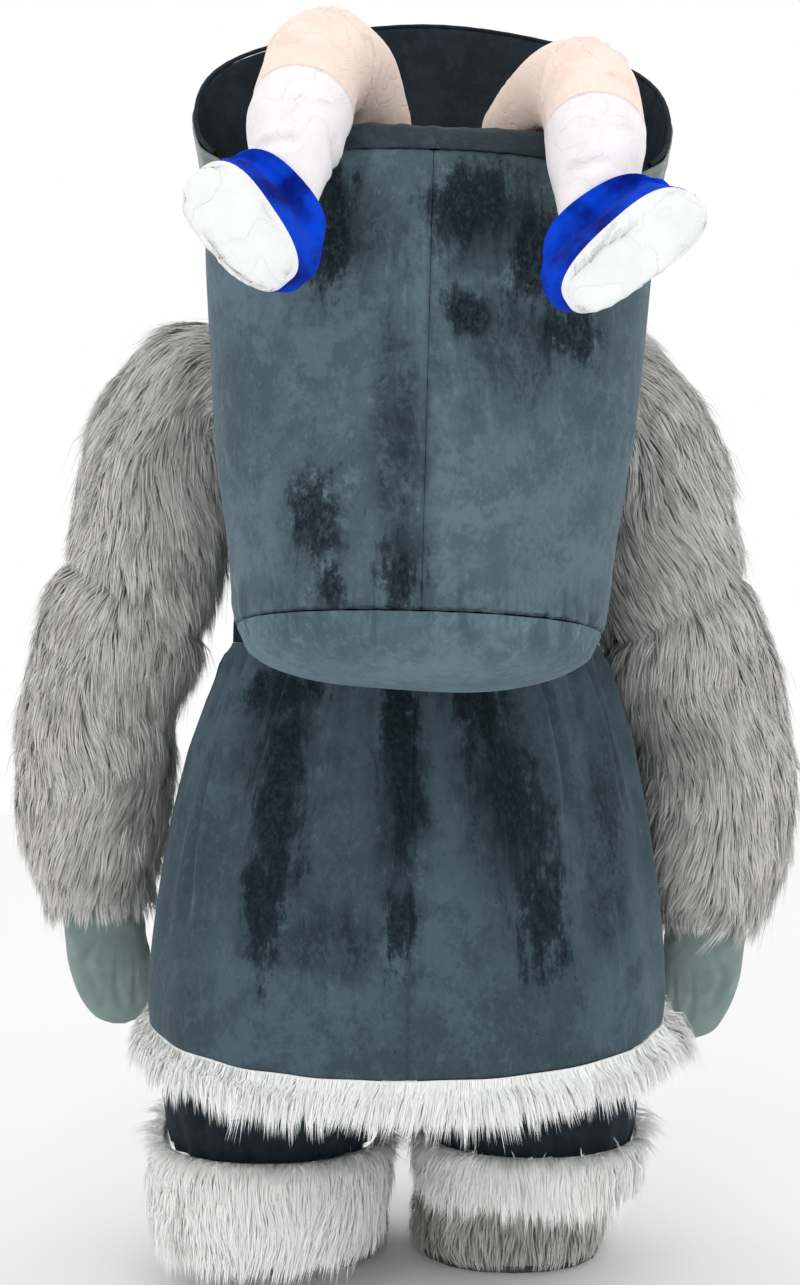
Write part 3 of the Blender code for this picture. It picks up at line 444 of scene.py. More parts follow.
# Cloth
class Cloth:
    """A cloth surface as a grid of points, rows by columns, with the normals of its outer face."""

    def __init__(self, points, core, closed=True):
        self.points = np.asarray(points, float)
        self.closed = closed
        self.core = np.asarray(core, float)
        self.find_normals()

    def find_normals(self):
        """Normals that point away from the core, which is a point or one for each row."""
        if self.closed:
            ring = np.concatenate((self.points[:, -1:], self.points, self.points[:, :1]), axis=1)
            across = ring[:, 2:] - ring[:, :-2]
        else:
            across = np.gradient(self.points, axis=1)
        along = np.gradient(self.points, axis=0)
        normals = unit(np.cross(across, along))
        core = self.core if self.core.ndim == 1 else self.core[:, None, :]
        facing = np.sum(normals * (self.points - core))
        self.flipped = facing < 0.0
        self.normals = -normals if self.flipped else normals

    def moved(self, amounts):
        """The cloth with its points moved along their normals."""
        amounts = np.asarray(amounts, float)
        if amounts.ndim:
            amounts = amounts[..., None]
        return Cloth(self.points + self.normals * amounts, self.core, self.closed)

    def shares(self):
        """A number for each row, from 0 at the first to 1 at the last."""
        return spread(0.0, 1.0, len(self.points))[:, None]

    def flat_size(self):
        """Width, length and area that the cloth is cut to, over its folds."""
        ring = np.concatenate((self.points, self.points[:, :1]), axis=1) if self.closed else self.points
        widths = np.linalg.norm(np.diff(ring, axis=1), axis=-1).sum(1)
        lengths = np.linalg.norm(np.diff(self.points, axis=0), axis=-1).sum(0)
        one = np.cross(ring[:-1, 1:] - ring[:-1, :-1], ring[1:, :-1] - ring[:-1, :-1])
        two = np.cross(ring[1:, :-1] - ring[1:, 1:], ring[:-1, 1:] - ring[1:, 1:])
        area = 0.5 * (np.linalg.norm(one, axis=-1).sum() + np.linalg.norm(two, axis=-1).sum())
        width = float(widths.max())
        length = max(float(lengths.max()), float(area) / width)
        return (width, length), float(area)


def spread(first, last, count):
    """Evenly spaced values from first to last, both included."""
    return np.linspace(first, last, count)


def around(count):
    """Evenly spaced angles round a tube."""
    return np.arange(count) * 360.0 / count


def turns(count):
    """The same angles in radians, as one row."""
    return np.radians(around(count))[None, :]


def unit(vectors):
    """Vectors of length 1 that point the same way."""
    return vectors / np.maximum(np.linalg.norm(vectors, axis=-1, keepdims=True), 1e-12)


def eased(distance, reach):
    """0 at a distance of 0 that rises to 1 over a reach."""
    return np.clip(distance / reach, 0.0, 1.0)


def near(distance, width):
    """1 at a distance of 0 that falls softly over a width."""
    return np.exp(-(distance / width) ** 2)


def grid_of(surface, angles, places, *others):
    """Rows of a surface's points, one row for each place and one column for each angle."""
    degrees, along = np.meshgrid(angles, places)
    return surface(degrees, along, *others)


def tube_of(rings):
    """Cloth that goes all round rings of points, with normals that point away from their middles."""
    return Cloth(rings, rings.mean(axis=1))


def tube(surface, angles, places):
    """Cloth that goes all round a surface."""
    return tube_of(grid_of(surface, angles, places))


def soft_noise(points, scale, seed):
    """Smooth numbers from about -1 to 1 at points, made of a few crossing waves."""
    random = np.random.default_rng(seed)
    total = np.zeros(points.shape[:-1])
    for octave in range(5):
        way = unit(random.normal(size=3)) * scale * (0.7 + 0.35 * octave)
        bend = random.normal(size=3) * scale * 0.45
        total = total + np.sin(points @ way + 1.6 * np.sin(points @ bend + octave) + random.uniform(0, 6.3))
    return total / 2.6


def nearness(points, path):
    """Distance from points to a path of points, and how far along the path each lies, from 0 to 1."""
    path = np.asarray(path, float)
    best = np.full(points.shape[:-1], np.inf)
    where = np.zeros(points.shape[:-1])
    steps = len(path) - 1
    for index in range(steps):
        start = path[index]
        way = path[index + 1] - start
        share = np.clip((points - start) @ way / max(way @ way, 1e-12), 0.0, 1.0)
        apart = np.linalg.norm(points - start - share[..., None] * way, axis=-1)
        nearer = apart < best
        best = np.where(nearer, apart, best)
        where = np.where(nearer, (index + share) / steps, where)
    return best, where


def crease(cloth, path, depth, width, fade=0.25):
    """Amounts that press a soft trough with raised sides into cloth along a path of points."""
    apart, where = nearness(cloth.points, path)
    ends = np.clip(np.minimum(where, 1.0 - where) / fade + 0.15, 0.0, 1.0)
    ends = ends * ends * (3.0 - 2.0 * ends)
    width = width * (0.8 + 0.4 * np.sin(5.0 * where + depth * 900.0))
    profile = 0.45 * near(apart - 1.9 * width, width) - near(apart, width)
    return depth * settings().fold_depth * ends * profile


def creases(cloth, surface, marks, turn=None):
    """The sum of creases on a surface, given as ((angle, place), (angle, place), ..., depth, width).

    Angles are in degrees, and depths and widths in millimetres.
    """
    total = np.zeros(cloth.points.shape[:-1])
    for mark in marks:
        degrees = np.array([place[0] for place in mark[:-2]], float)
        along = np.array([place[1] for place in mark[:-2]], float)
        steps = spread(0.0, len(degrees) - 1.0, 4 * len(degrees))
        index = np.arange(len(degrees))
        path = surface(np.interp(steps, index, degrees), np.interp(steps, index, along))
        if turn is not None:
            path = turn(path)
        total = total + crease(cloth, path, mark[-2] / 1000.0, mark[-1] / 1000.0)
    return total


def make_mesh(name, vertices, corners, starts, finish):
    """An object of the row frame from arrays of points and of each face's corners."""
    data = bpy.data.meshes.new(name)
    data.vertices.add(len(vertices))
    data.vertices.foreach_set("co", np.asarray(vertices, np.float32).ravel())
    data.loops.add(len(corners))
    data.loops.foreach_set("vertex_index", np.asarray(corners, np.int32))
    data.polygons.add(len(starts))
    data.polygons.foreach_set("loop_start", np.asarray(starts, np.int32))
    data.update(calc_edges=True)
    data.polygons.foreach_set("use_smooth", np.ones(len(starts), bool))
    data.materials.append(finish)
    if data.validate():
        raise RuntimeError(f"{name} has faulty faces")
    piece = bpy.data.objects.new(name, data)
    bpy.context.scene.collection.objects.link(piece)
    return piece


def shell_faces(rows, columns, closed, first, flipped):
    """Corners of the four-sided faces of a grid whose points start at a number."""
    wide = columns if closed else columns - 1
    row, column = np.meshgrid(np.arange(rows - 1), np.arange(wide), indexing="ij")
    beside = (column + 1) % columns
    low = first + row * columns
    high = low + columns
    faces = np.stack((low + column, low + beside, high + beside, high + column), -1).reshape(-1, 4)
    return faces[:, ::-1] if flipped else faces


def sew(name, cloth, finish, wall=CLOTH, cap=None):
    """A closed shell for a CAD node: outer face, inner face and edges; cap closes the last row."""
    rows, columns = cloth.points.shape[:2]
    outer = cloth.points.reshape(-1, 3)
    inner = (cloth.points - cloth.normals * wall).reshape(-1, 3)
    vertices = [outer, inner]
    half = len(outer)
    quads = [
        shell_faces(rows, columns, cloth.closed, 0, cloth.flipped),
        shell_faces(rows, columns, cloth.closed, half, not cloth.flipped),
    ]
    wide = columns if cloth.closed else columns - 1
    column = np.arange(wide)
    beside = (column + 1) % columns
    last = (rows - 1) * columns
    edges = [(column, beside)]
    if cap is None:
        edges.append((last + beside, last + column))
    if not cloth.closed:
        row = np.arange(rows - 1) * columns
        edges.append((row + columns, row))
        edges.append((row + columns - 1, row + 2 * columns - 1))
    for one, other in edges:
        rim = np.stack((other, one, one + half, other + half), -1)
        quads.append(rim[:, ::-1] if cloth.flipped else rim)
    quads = np.concatenate(quads)
    corners = [quads.ravel()]
    starts = [np.arange(len(quads)) * 4]
    if cap is not None:
        cap = np.asarray(cap, float)
        inward = cloth.core if cloth.core.ndim == 1 else cloth.core[-2]
        vertices.append(np.stack((cap, cap + unit(inward - cap) * wall)))
        tips = []
        for tip, base, turned in (
                (2 * half, last, cloth.flipped),
                (2 * half + 1, last + half, not cloth.flipped)):
            fan = np.stack((base + column, base + beside, np.full(wide, tip)), -1)
            tips.append(fan[:, ::-1] if turned else fan)
        tips = np.concatenate(tips)
        corners.append(tips.ravel())
        starts.append(len(quads) * 4 + np.arange(len(tips)) * 3)
    starts = np.concatenate(starts)
    piece = make_mesh(name + DRESSED, np.concatenate(vertices), np.concatenate(corners), starts, finish)
    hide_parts(name)
    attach(piece, "root")
    return piece


def lay_sheet(piece, cloth, slot, rests_on):
    """Works out the cloth's flat size and the names of the pieces that hold it; nothing further is done with
    them.
    """
    flat, area = cloth.flat_size()
    holders = [name + DRESSED for name in rests_on]


# Fur
TIP_CLEARANCE = 0.004       # how far the tips stay off the cloth and the floor


def tufts(roots, ways, lengths, random, share, size):
    """Ways and lengths of strands that are gathered into pointed locks of about a number of strands."""
    count = len(roots)
    leads = random.choice(count, max(1, count // size), replace=False)
    tree = KDTree(len(leads))
    for index, lead in enumerate(leads):
        tree.insert(roots[lead], index)
    tree.balance()
    nearest = leads[np.array([tree.find(root)[1] for root in roots])]
    tips = roots + ways * lengths[:, None]
    gathered = tips + (tips[nearest] - tips) * share[:, None]
    ways = gathered - roots
    long = np.linalg.norm(ways, axis=-1)
    return unit(ways), np.clip(long, 0.5 * lengths, 1.1 * lengths)


def grow_fur(name, cloth, finish, count, length, lift, fall, width, seed,
             comb=1.0, gather=0.62, lock=9, keep=None, wisps=0.15):
    """Strands on the outer face of a cloth, combed along its rows, that bend down and form locks.

    lift is how far strands stand up, fall how much they hang, comb the way along the rows
    and wisps the share of strands that are longer and thinner than the rest.
    """
    random = np.random.default_rng(settings().seed * 1000 + seed)
    points, normals = cloth.points, cloth.normals
    if cloth.closed:
        points = np.concatenate((points, points[:, :1]), axis=1)
        normals = np.concatenate((normals, normals[:, :1]), axis=1)
    one = points[:-1, 1:] - points[:-1, :-1]
    two = points[1:, :-1] - points[:-1, :-1]
    sizes = np.linalg.norm(np.cross(one, two), axis=-1)
    if keep is not None:
        sizes = sizes * keep(points[:-1, :-1])
    count = max(60, int(count * settings().fur_density))
    chosen = random.choice(sizes.size, count, p=(sizes / sizes.sum()).ravel())
    row, column = np.unravel_index(chosen, sizes.shape)
    u = random.random((count, 1))
    v = random.random((count, 1))

    def between(values):
        low = values[row, column] * (1 - u) + values[row, column + 1] * u
        high = values[row + 1, column] * (1 - u) + values[row + 1, column + 1] * u
        return low * (1 - v) + high * v

    roots = between(points)
    outward = unit(between(normals))
    along = unit(two[row, column])
    across = np.cross(outward, along)
    swirl = soft_noise(roots, 6.0, seed + 7) * 0.45
    swirl = swirl + soft_noise(roots, 14.0, seed + 1) * 0.55 + soft_noise(roots, 45.0, seed + 2) * 0.35
    swirl = swirl[:, None]
    rise = lift * (1.0 + 0.5 * soft_noise(roots, 30.0, seed + 3)[:, None])
    down = np.array((0.0, 0.0, -1.0))
    ways = along * comb + across * swirl + outward * rise + down * 0.35
    ways = unit(ways + random.normal(scale=0.22, size=(count, 3)))
    wispy = random.random(count) < wisps
    lengths = length * (0.68 + 0.3 * random.random(count)) * (1.0 + 0.18 * soft_noise(roots, 20.0, seed + 4))
    lengths = lengths * np.where(wispy, 1.6, 1.0)
    width = width * np.where(wispy, 0.7, 1.0)[:, None]
    share = gather * (0.6 + 0.5 * random.random(count))
    ways, lengths = tufts(roots, ways, lengths, random, share, lock)
    tall = lengths[:, None]
    middle = roots + (ways * 0.55 + outward * (0.30 + rise * 0.4)) * tall * 0.5
    hanging = ways + down * fall
    tips = roots + hanging * tall / np.linalg.norm(hanging, axis=-1, keepdims=True)
    under = np.sum((tips - roots) * outward, axis=-1, keepdims=True)
    tips = tips + outward * np.maximum(0.0, TIP_CLEARANCE - under)
    for line in (middle, tips):
        line[:, 2] = np.maximum(line[:, 2], TIP_CLEARANCE - HOLD_HEIGHT)
    shade = 0.5 + 0.25 * soft_noise(roots, 60.0, seed + 5) + random.normal(scale=0.16, size=count)
    return make_strands(name, roots, middle, tips, outward, width, shade, random, finish)


def make_strands(name, roots, middle, tips, outward, width, shade, random, finish):
    """Tapered ribbons of two segments from roots over middles to tips, as one mesh with a strand map."""
    count = len(roots)
    halfway = roots * 0.25 + middle * 0.5 + tips * 0.25
    beside = np.cross(tips - roots, outward)
    tall = np.linalg.norm(tips - roots, axis=-1, keepdims=True)
    beside = unit(beside + random.normal(scale=0.25, size=beside.shape) * tall)
    half = 0.5 * width * (0.65 + 0.7 * random.random((count, 1)))
    vertices = np.zeros((count, 5, 3))
    for index, (line, size) in enumerate(((roots, 0.9), (halfway, 0.85))):
        vertices[:, 2 * index] = line - beside * half * size
        vertices[:, 2 * index + 1] = line + beside * half * size
    vertices[:, 4] = tips
    corners_of_one = np.array((0, 1, 3, 2, 2, 3, 4))
    corners = (np.arange(count)[:, None] * 5 + corners_of_one).ravel()
    starts = (np.arange(count)[:, None] * 7 + np.array((0, 4))).ravel()
    piece = make_mesh(name, vertices.reshape(-1, 3), corners, starts, finish)
    height = np.array((0.0, 0.0, 0.5, 0.5, 1.0))[corners_of_one]
    strand_map = piece.data.uv_layers.new(name="strand")
    values = np.stack((np.repeat(np.clip(shade, 0.0, 1.0), 7), np.tile(height, count)), -1)
    strand_map.uv.foreach_set("vector", values.astype(np.float32).ravel())
    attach(piece, "root")
    return piece


# Materials
FINISHED = "_finish"        # ends every material's name
WEAVE_SCALE = 1500.0


class Value:
    """A number that a material's nodes work out, which can stand in plain expressions."""

    def __init__(self, paint, socket):
        self.paint = paint
        self.socket = socket

    def maths(self, operation, first, second=0.0):
        """The result of a Math node."""
        return self.paint.add("ShaderNodeMath", "Value", {"operation": operation}, {0: first, 1: second})

    def sine(self):
        """The sine of the number."""
        return self.maths("SINE", self)

    def size(self):
        """The number without its sign."""
        return self.maths("ABSOLUTE", self)

    def or_more(self, other):
        """The larger of two numbers."""
        return self.maths("MAXIMUM", self, other)

    def __add__(self, other):
        return self.maths("ADD", self, other)

    def __radd__(self, other):
        return self.maths("ADD", other, self)

    def __sub__(self, other):
        return self.maths("SUBTRACT", self, other)

    def __rsub__(self, other):
        return self.maths("SUBTRACT", other, self)

    def __mul__(self, other):
        return self.maths("MULTIPLY", self, other)

    def __rmul__(self, other):
        return self.maths("MULTIPLY", other, self)

    def __truediv__(self, other):
        return self.maths("DIVIDE", self, other)

    def __rtruediv__(self, other):
        return self.maths("DIVIDE", other, self)

    def __pow__(self, other):
        return self.maths("POWER", self, other)

    def __neg__(self):
        return self.maths("MULTIPLY", self, -1.0)


class Paint:
    """A new material and the nodes that work out its colour, roughness and relief."""

    def __init__(self, name, **constants):
        self.material = bpy.data.materials.new(name + FINISHED)
        self.material.use_nodes = True
        self.nodes = self.material.node_tree.nodes
        self.links = self.material.node_tree.links
        self.shader = self.nodes["Principled BSDF"]
        for socket, value in constants.items():
            self.fill(self.shader.inputs[socket.replace("_", " ")], value)

    def add(self, kind, output, choices=None, inputs=None):
        """An output of a new node, with its choices set first and then its inputs."""
        node = self.nodes.new(kind)
        for key, value in (choices or {}).items():
            setattr(node, key, value)
        for key, value in (inputs or {}).items():
            self.fill(node.inputs[key], value)
        return Value(self, node.outputs[output])

    def fill(self, socket, value):
        """A constant or another node's output for a socket; colours have three parts and no alpha."""
        if isinstance(value, Value):
            self.links.new(value.socket, socket)
        else:
            socket.default_value = (*value, 1.0) if socket.type == "RGBA" else value

    def place(self):
        """The place on the costume, in metres."""
        return self.add("ShaderNodeTexCoord", "Object")

    def stretched(self, vector, x, y, z):
        """A vector with its parts multiplied."""
        return self.add("ShaderNodeVectorMath", "Vector", {"operation": "MULTIPLY"}, {
            0: vector, 1: (x, y, z)})

    def shifted(self, vector, amount, other):
        """A vector with an amount of another added."""
        moved = self.add("ShaderNodeVectorMath", "Vector", {"operation": "SCALE"}, {
            0: other, "Scale": amount})
        return self.add("ShaderNodeVectorMath", "Vector", {"operation": "ADD"}, {0: vector, 1: moved})

    def parts(self, vector):
        """The three parts of a vector as numbers."""
        node = self.nodes.new("ShaderNodeSeparateXYZ")
        self.fill(node.inputs[0], vector)
        return [Value(self, output) for output in node.outputs]

    def noise(self, vector, scale, detail=2.0, output="Fac", roughness=0.5):
        """Soft noise of a scale per metre."""
        return self.add("ShaderNodeTexNoise", output, {"noise_dimensions": "3D"}, {
            "Vector": vector, "Scale": scale, "Detail": detail, "Roughness": roughness})

    def step(self, value, low, high):
        """0 below low, 1 above high and a soft step between."""
        return self.add("ShaderNodeMapRange", "Result", {"interpolation_type": "SMOOTHSTEP"}, {
            "Value": value, "From Min": low, "From Max": high, "To Min": 0.0, "To Max": 1.0})

    def fall(self, value, low, high):
        """1 below low, 0 above high and a soft step between."""
        return 1.0 - self.step(value, low, high)

    def mixed(self, first, second, share):
        """A colour between two."""
        node = self.nodes.new("ShaderNodeMix")
        node.data_type = "RGBA"
        colours = [socket for socket in node.inputs if socket.type == "RGBA"]
        self.fill(node.inputs[0], share)
        self.fill(colours[0], first)
        self.fill(colours[1], second)
        return Value(self, [socket for socket in node.outputs if socket.type == "RGBA"][0])

    def finish(self, colour=None, roughness=None, relief=None, depth=0.001):
        """The material with what varies over its surface; relief is a height from 0 to 1 of a depth."""
        if colour is not None:
            self.fill(self.shader.inputs["Base Color"], colour)
        if roughness is not None:
            self.fill(self.shader.inputs["Roughness"], roughness)
        if relief is not None:
            normal = self.add("ShaderNodeBump", "Normal", None, {
                "Height": relief, "Distance": depth, "Strength": 1.0})
            self.fill(self.shader.inputs["Normal"], normal)
        return self.material


def sheen_of(weight, roughness, tint=(1.0, 1.0, 1.0), gloss=0.2):
    """The constants of a fabric's sheen."""
    return {"Sheen_Weight": weight, "Sheen_Roughness": roughness, "Sheen_Tint": tint,
            "Specular_IOR_Level": gloss}


def times(colour, share):
    """A colour made darker or brighter."""
    return tuple(share * part for part in colour)


def nap_and_shade_patches(paint, place, patches, uneven):
    """Soft darker patches of the velvet, as (x, height, half width, half height, slant): where its nap lies
    flat, and on the skirt painted shade along its folds.
    """
    x, y, z = paint.parts(place)
    total = None
    for middle_x, middle_height, half_width, half_height, slant in patches:
        above = z - (middle_height - HOLD_HEIGHT)
        up = above / half_height
        across = (x - middle_x - above * slant) / half_width
        apart = (across * across + up * up) ** 0.5
        mask = paint.fall(apart + uneven, 0.45, 1.15)
        total = mask if total is None else total.or_more(mask)
    return total


def near_bottom_seam(paint, place):
    """One at the seam between the basket's wall and its bottom, and less away from it."""
    x, y, z = paint.parts(place)
    middle = BASKET_MATRIX @ Vector((0.0, 0.0, BASKET_WALL.rows[0][0]))
    across = BASKET_MATRIX.to_3x3() @ Vector((0.0, 0.0, 1.0))
    apart = x * across.x + y * across.y + z * across.z - middle.dot(across)
    return paint.fall(apart.size(), 0.004, 0.085)


def velvet(name, light, dark, patches=(), speckle=0.35, sheen=0.22, shades=(), puckered=False):
    """Crushed velvet: a short sheen nap, darker in listed patches and in broad soft shades, which are the nap
    lying flat on the basket and the bodice and painted shade along the folds on the skirt; the puckers beside
    the basket's bottom seam carry painted shade.
    """
    paint = Paint(name, **sheen_of(sheen, 0.40, (0.55, 0.68, 0.78), 0.06))
    place = paint.place()
    wobble = paint.noise(place, 5.0, 2.0, "Color")
    bent = paint.shifted(place, 0.05, wobble)
    ragged = paint.noise(paint.stretched(bent, 1.0, 1.0, 0.75), 21.0, 10.0, roughness=0.76)
    streaks = paint.noise(paint.stretched(bent, 38.0, 38.0, 6.0), 1.0, 7.0, roughness=0.70)
    soft = paint.noise(place, 3.4, 3.0)
    fleck = paint.noise(paint.stretched(bent, 1.0, 1.0, 0.7), 105.0, 7.0, roughness=0.78)
    specks = paint.step(fleck, 0.58, 0.68) * paint.step(soft + streaks * 0.3, 0.60, 0.74) * speckle
    shaded = paint.step(soft * 0.35 + streaks * 0.2 + ragged * 0.25 + fleck * 0.2, 0.45, 0.58)
    pale = paint.mixed(light, times(light, 0.46), shaded * 0.85)
    brushed = paint.step(ragged * 0.35 + streaks * 0.25 + fleck * 0.4, 0.50, 0.58)
    pale = paint.mixed(pale, times(light, 1.45), brushed * 0.55)
    rubbed = paint.noise(bent, 15.0, 9.0, roughness=0.74)
    matted = paint.step(rubbed * 0.65 + fleck * 0.35, 0.47, 0.56)
    pale = paint.mixed(pale, times(light, 0.52), matted * 0.62)
    pale = paint.mixed(pale, dark, specks)
    relief = paint.noise(place, 1400.0, 1.0) * 0.08 + paint.noise(bent, 48.0, 4.0) * 0.36
    relief = relief + paint.noise(paint.stretched(bent, 1.0, 1.0, 0.55), 13.0, 3.0) * 0.75
    if puckered:
        beside_seam = near_bottom_seam(paint, place)
        puckers = paint.noise(paint.stretched(bent, 52.0, 14.0, 7.0), 1.0, 2.0)
        # Painted shade in the puckers beside the basket's bottom seam, which the relief below also raises.
        pale = paint.mixed(pale, times(light, 0.45), paint.step(puckers, 0.50, 0.64) * beside_seam * 0.75)
        relief = relief + puckers * beside_seam * 1.8
    # Patches and broad shades darken towards the dark colour: on the basket and the bodice the nap lying
    # flat, on the skirt painted shade along its folds.
    if patches:
        uneven = (ragged - 0.5) * 3.4 + (streaks - 0.5) * 2.6 + (fleck - 0.5) * 2.2
        broad = nap_and_shade_patches(paint, place, shades, uneven * 0.55)
        strength = 0.34 + paint.step(ragged * 0.5 + fleck * 0.5, 0.42, 0.6) * 0.42
        pale = paint.mixed(pale, dark, broad * strength)
        nap = nap_and_shade_patches(paint, place, patches, uneven)
        strength = 0.62 + paint.step(fleck, 0.36, 0.58) * 0.34
        pale = paint.mixed(pale, dark, nap * strength)
    rough = 0.62 + paint.step(ragged, 0.3, 0.7) * 0.22
    return paint.finish(pale, rough, relief, 0.0050)


def fur_strand(name, root, tip, deep):
    """Fur strands that go from a darker root to a pale tip, each with its own shade."""
    paint = Paint(name, **sheen_of(0.12, 0.6))
    strand = paint.add("ShaderNodeUVMap", "UV", {"uv_map": "strand"})
    shade, height, unused = paint.parts(strand)
    colour = paint.mixed(root, tip, paint.step(height, 0.1, 1.0))
    place = paint.place()
    cloud = paint.noise(place, 9.0, 2.0)
    share = paint.fall(shade, 0.0, 0.62) * 0.60 + paint.fall(cloud, 0.30, 0.55) * 0.18
    colour = paint.mixed(colour, times(root, deep), share)
    return paint.finish(colour, 0.72 + shade * 0.16)


def fur_bed(name, colour, deep):
    """Backing and short underfur that shows between the strands."""
    paint = Paint(name, **sheen_of(0.15, 0.6))
    place = paint.place()
    fine = paint.noise(paint.stretched(place, 1.0, 1.0, 0.35), 260.0, 3.0, roughness=0.7)
    cloud = paint.noise(place, 30.0, 3.0)
    shown = paint.mixed(colour, times(colour, deep), paint.step(fine, 0.35, 0.7) * 0.8)
    return paint.finish(shown, 0.82 + cloud * 0.12, fine * 0.7 + cloud * 0.3, 0.004)


def felt(name, light, dark, patchy=0.6, sheen=0.28):
    """Short-haired fleece with small lint."""
    paint = Paint(name, **sheen_of(sheen, 0.5, gloss=0.06))
    place = paint.place()
    cloud = paint.noise(place, 14.0, 3.0)
    fine = paint.noise(place, 420.0, 3.0, roughness=0.75)
    lint = paint.noise(paint.stretched(place, 1.0, 1.0, 2.5), 130.0, 4.0, roughness=0.7)
    share = paint.step(cloud, 0.36, 0.64) * patchy + paint.step(fine, 0.45, 0.75) * 0.3
    colour = paint.mixed(light, dark, share)
    return paint.finish(colour, 0.84 + lint * 0.1, fine * 0.45 + lint * 0.55, 0.0016)


def thin_cloth(name, light, dark, rough, sheen=0.12):
    """Smooth woven cloth with soft clouds of a second colour, and small crumples; its thin wrinkle lines are
    darkened with painted shade.
    """
    paint = Paint(name, **sheen_of(sheen, 0.4))
    place = paint.place()
    cloud = paint.noise(place, 16.0, 3.0)
    bent = paint.shifted(place, 0.03, paint.noise(place, 14.0, 2.0, "Color"))
    crumple = paint.noise(bent, 42.0, 2.0)
    ridges = paint.noise(bent, 15.0, 1.5)
    wrinkle = paint.fall((ridges - 0.5).size(), 0.0, 0.022)
    x, y, z = paint.parts(place)
    threads = (x * WEAVE_SCALE + z * WEAVE_SCALE * 0.5).sine()
    weave = 0.5 + threads * (z * WEAVE_SCALE - y * WEAVE_SCALE).sine() * 0.5
    # The second colour also lies along the wrinkle lines as painted shade.
    colour = paint.mixed(light, dark, paint.step(cloud, 0.35, 0.75) * 0.45 + wrinkle * 0.16)
    relief = weave * 0.1 + crumple * 0.6 - wrinkle * 0.16
    return paint.finish(colour, rough + crumple * 0.2, relief, 0.004)


def rubber(name, light, dark):
    """Dark ribbed sole with dust in its grain."""
    paint = Paint(name, Specular_IOR_Level=0.35)
    place = paint.place()
    grain = paint.noise(place, 320.0, 3.0)
    dust = paint.noise(place, 12.0, 4.0)
    x, y, z = paint.parts(place)
    ribs = (y * 520.0).sine() * 0.5 + 0.5
    colour = paint.mixed(dark, light, paint.step(dust, 0.4, 0.75) * 0.7 + grain * 0.2)
    return paint.finish(colour, 0.62 + dust * 0.25, ribs * 0.7 + grain * 0.3, 0.0012)


def polished(name, light, dark, rough, bands):
    """Horn or eye: smooth, with faint growth lines."""
    paint = Paint(name, Coat_Weight=0.25, Coat_Roughness=0.3)
    place = paint.place()
    x, y, z = paint.parts(place)
    cloud = paint.noise(place, 24.0, 3.0)
    lines = (z * bands + cloud * 4.0).sine() * 0.5 + 0.5
    colour = paint.mixed(light, dark, lines * 0.5 + cloud * 0.35)
    return paint.finish(colour, rough + cloud * 0.12, lines, 0.0006)


# Soft darker patches of the velvet, as its patch masks take them, with heights above the soles: on the basket
# and the bodice where the nap lies flat, on the skirt painted shade along its folds
BASKET_NAP = (
    (-0.128, 1.440, 0.052, 0.080, -0.10),
    (-0.105, 1.340, 0.026, 0.050, -0.20),
    (0.000, 1.345, 0.036, 0.070, 0.0),
    (-0.100, 1.870, 0.050, 0.100, 0.05),
    (0.110, 1.900, 0.090, 0.070, 0.10),
    (0.205, 1.830, 0.060, 0.090, 0.15),
    (0.260, 1.720, 0.060, 0.050, 0.0),
    (0.100, 1.740, 0.045, 0.040, 0.0),
)
# Painted shade down the skirt's folds and its back seam, drawn as dark velvet patches
SKIRT_PAINTED_FOLD_SHADE = (
    (-0.215, 1.170, 0.070, 0.090, 0.10),
    (-0.220, 0.980, 0.055, 0.210, 0.05),
    (-0.240, 0.780, 0.045, 0.140, 0.0),
    (0.000, 1.140, 0.045, 0.150, 0.0),
    (0.008, 0.970, 0.034, 0.150, 0.0),
    (0.000, 0.730, 0.034, 0.090, 0.0),
    (0.150, 1.150, 0.050, 0.110, -0.2),
    (0.200, 0.980, 0.065, 0.160, -0.25),
    (0.255, 0.770, 0.050, 0.130, -0.1),
)
BASKET_SHADES = (
    (-0.080, 1.870, 0.100, 0.110, 0.0),
    (0.000, 1.560, 0.052, 0.260, -0.03),
    (0.005, 1.380, 0.040, 0.090, 0.0),
    (0.135, 1.880, 0.110, 0.110, 0.0),
    (0.160, 1.700, 0.120, 0.120, 0.0),
)
# Broad painted shade on the skirt: columns along its folds, with patches low down and at its right side
SKIRT_BROAD_PAINTED_SHADE = (
    (-0.220, 1.000, 0.100, 0.290, 0.05),
    (0.000, 0.980, 0.060, 0.280, 0.0),
    (0.190, 0.980, 0.110, 0.290, -0.15),
    (-0.120, 0.720, 0.120, 0.080, 0.0),
    (0.380, 0.900, 0.060, 0.250, 0.0),
)
BODICE_SHADES = (
    (-0.160, 1.540, 0.090, 0.180, 0.1),
    (0.150, 1.500, 0.090, 0.160, -0.1),
)
BODICE_NAP = (
    (-0.120, 1.560, 0.060, 0.120, 0.1),
    (0.140, 1.480, 0.050, 0.100, -0.1),
    (0.020, 1.720, 0.060, 0.060, 0.0),
)


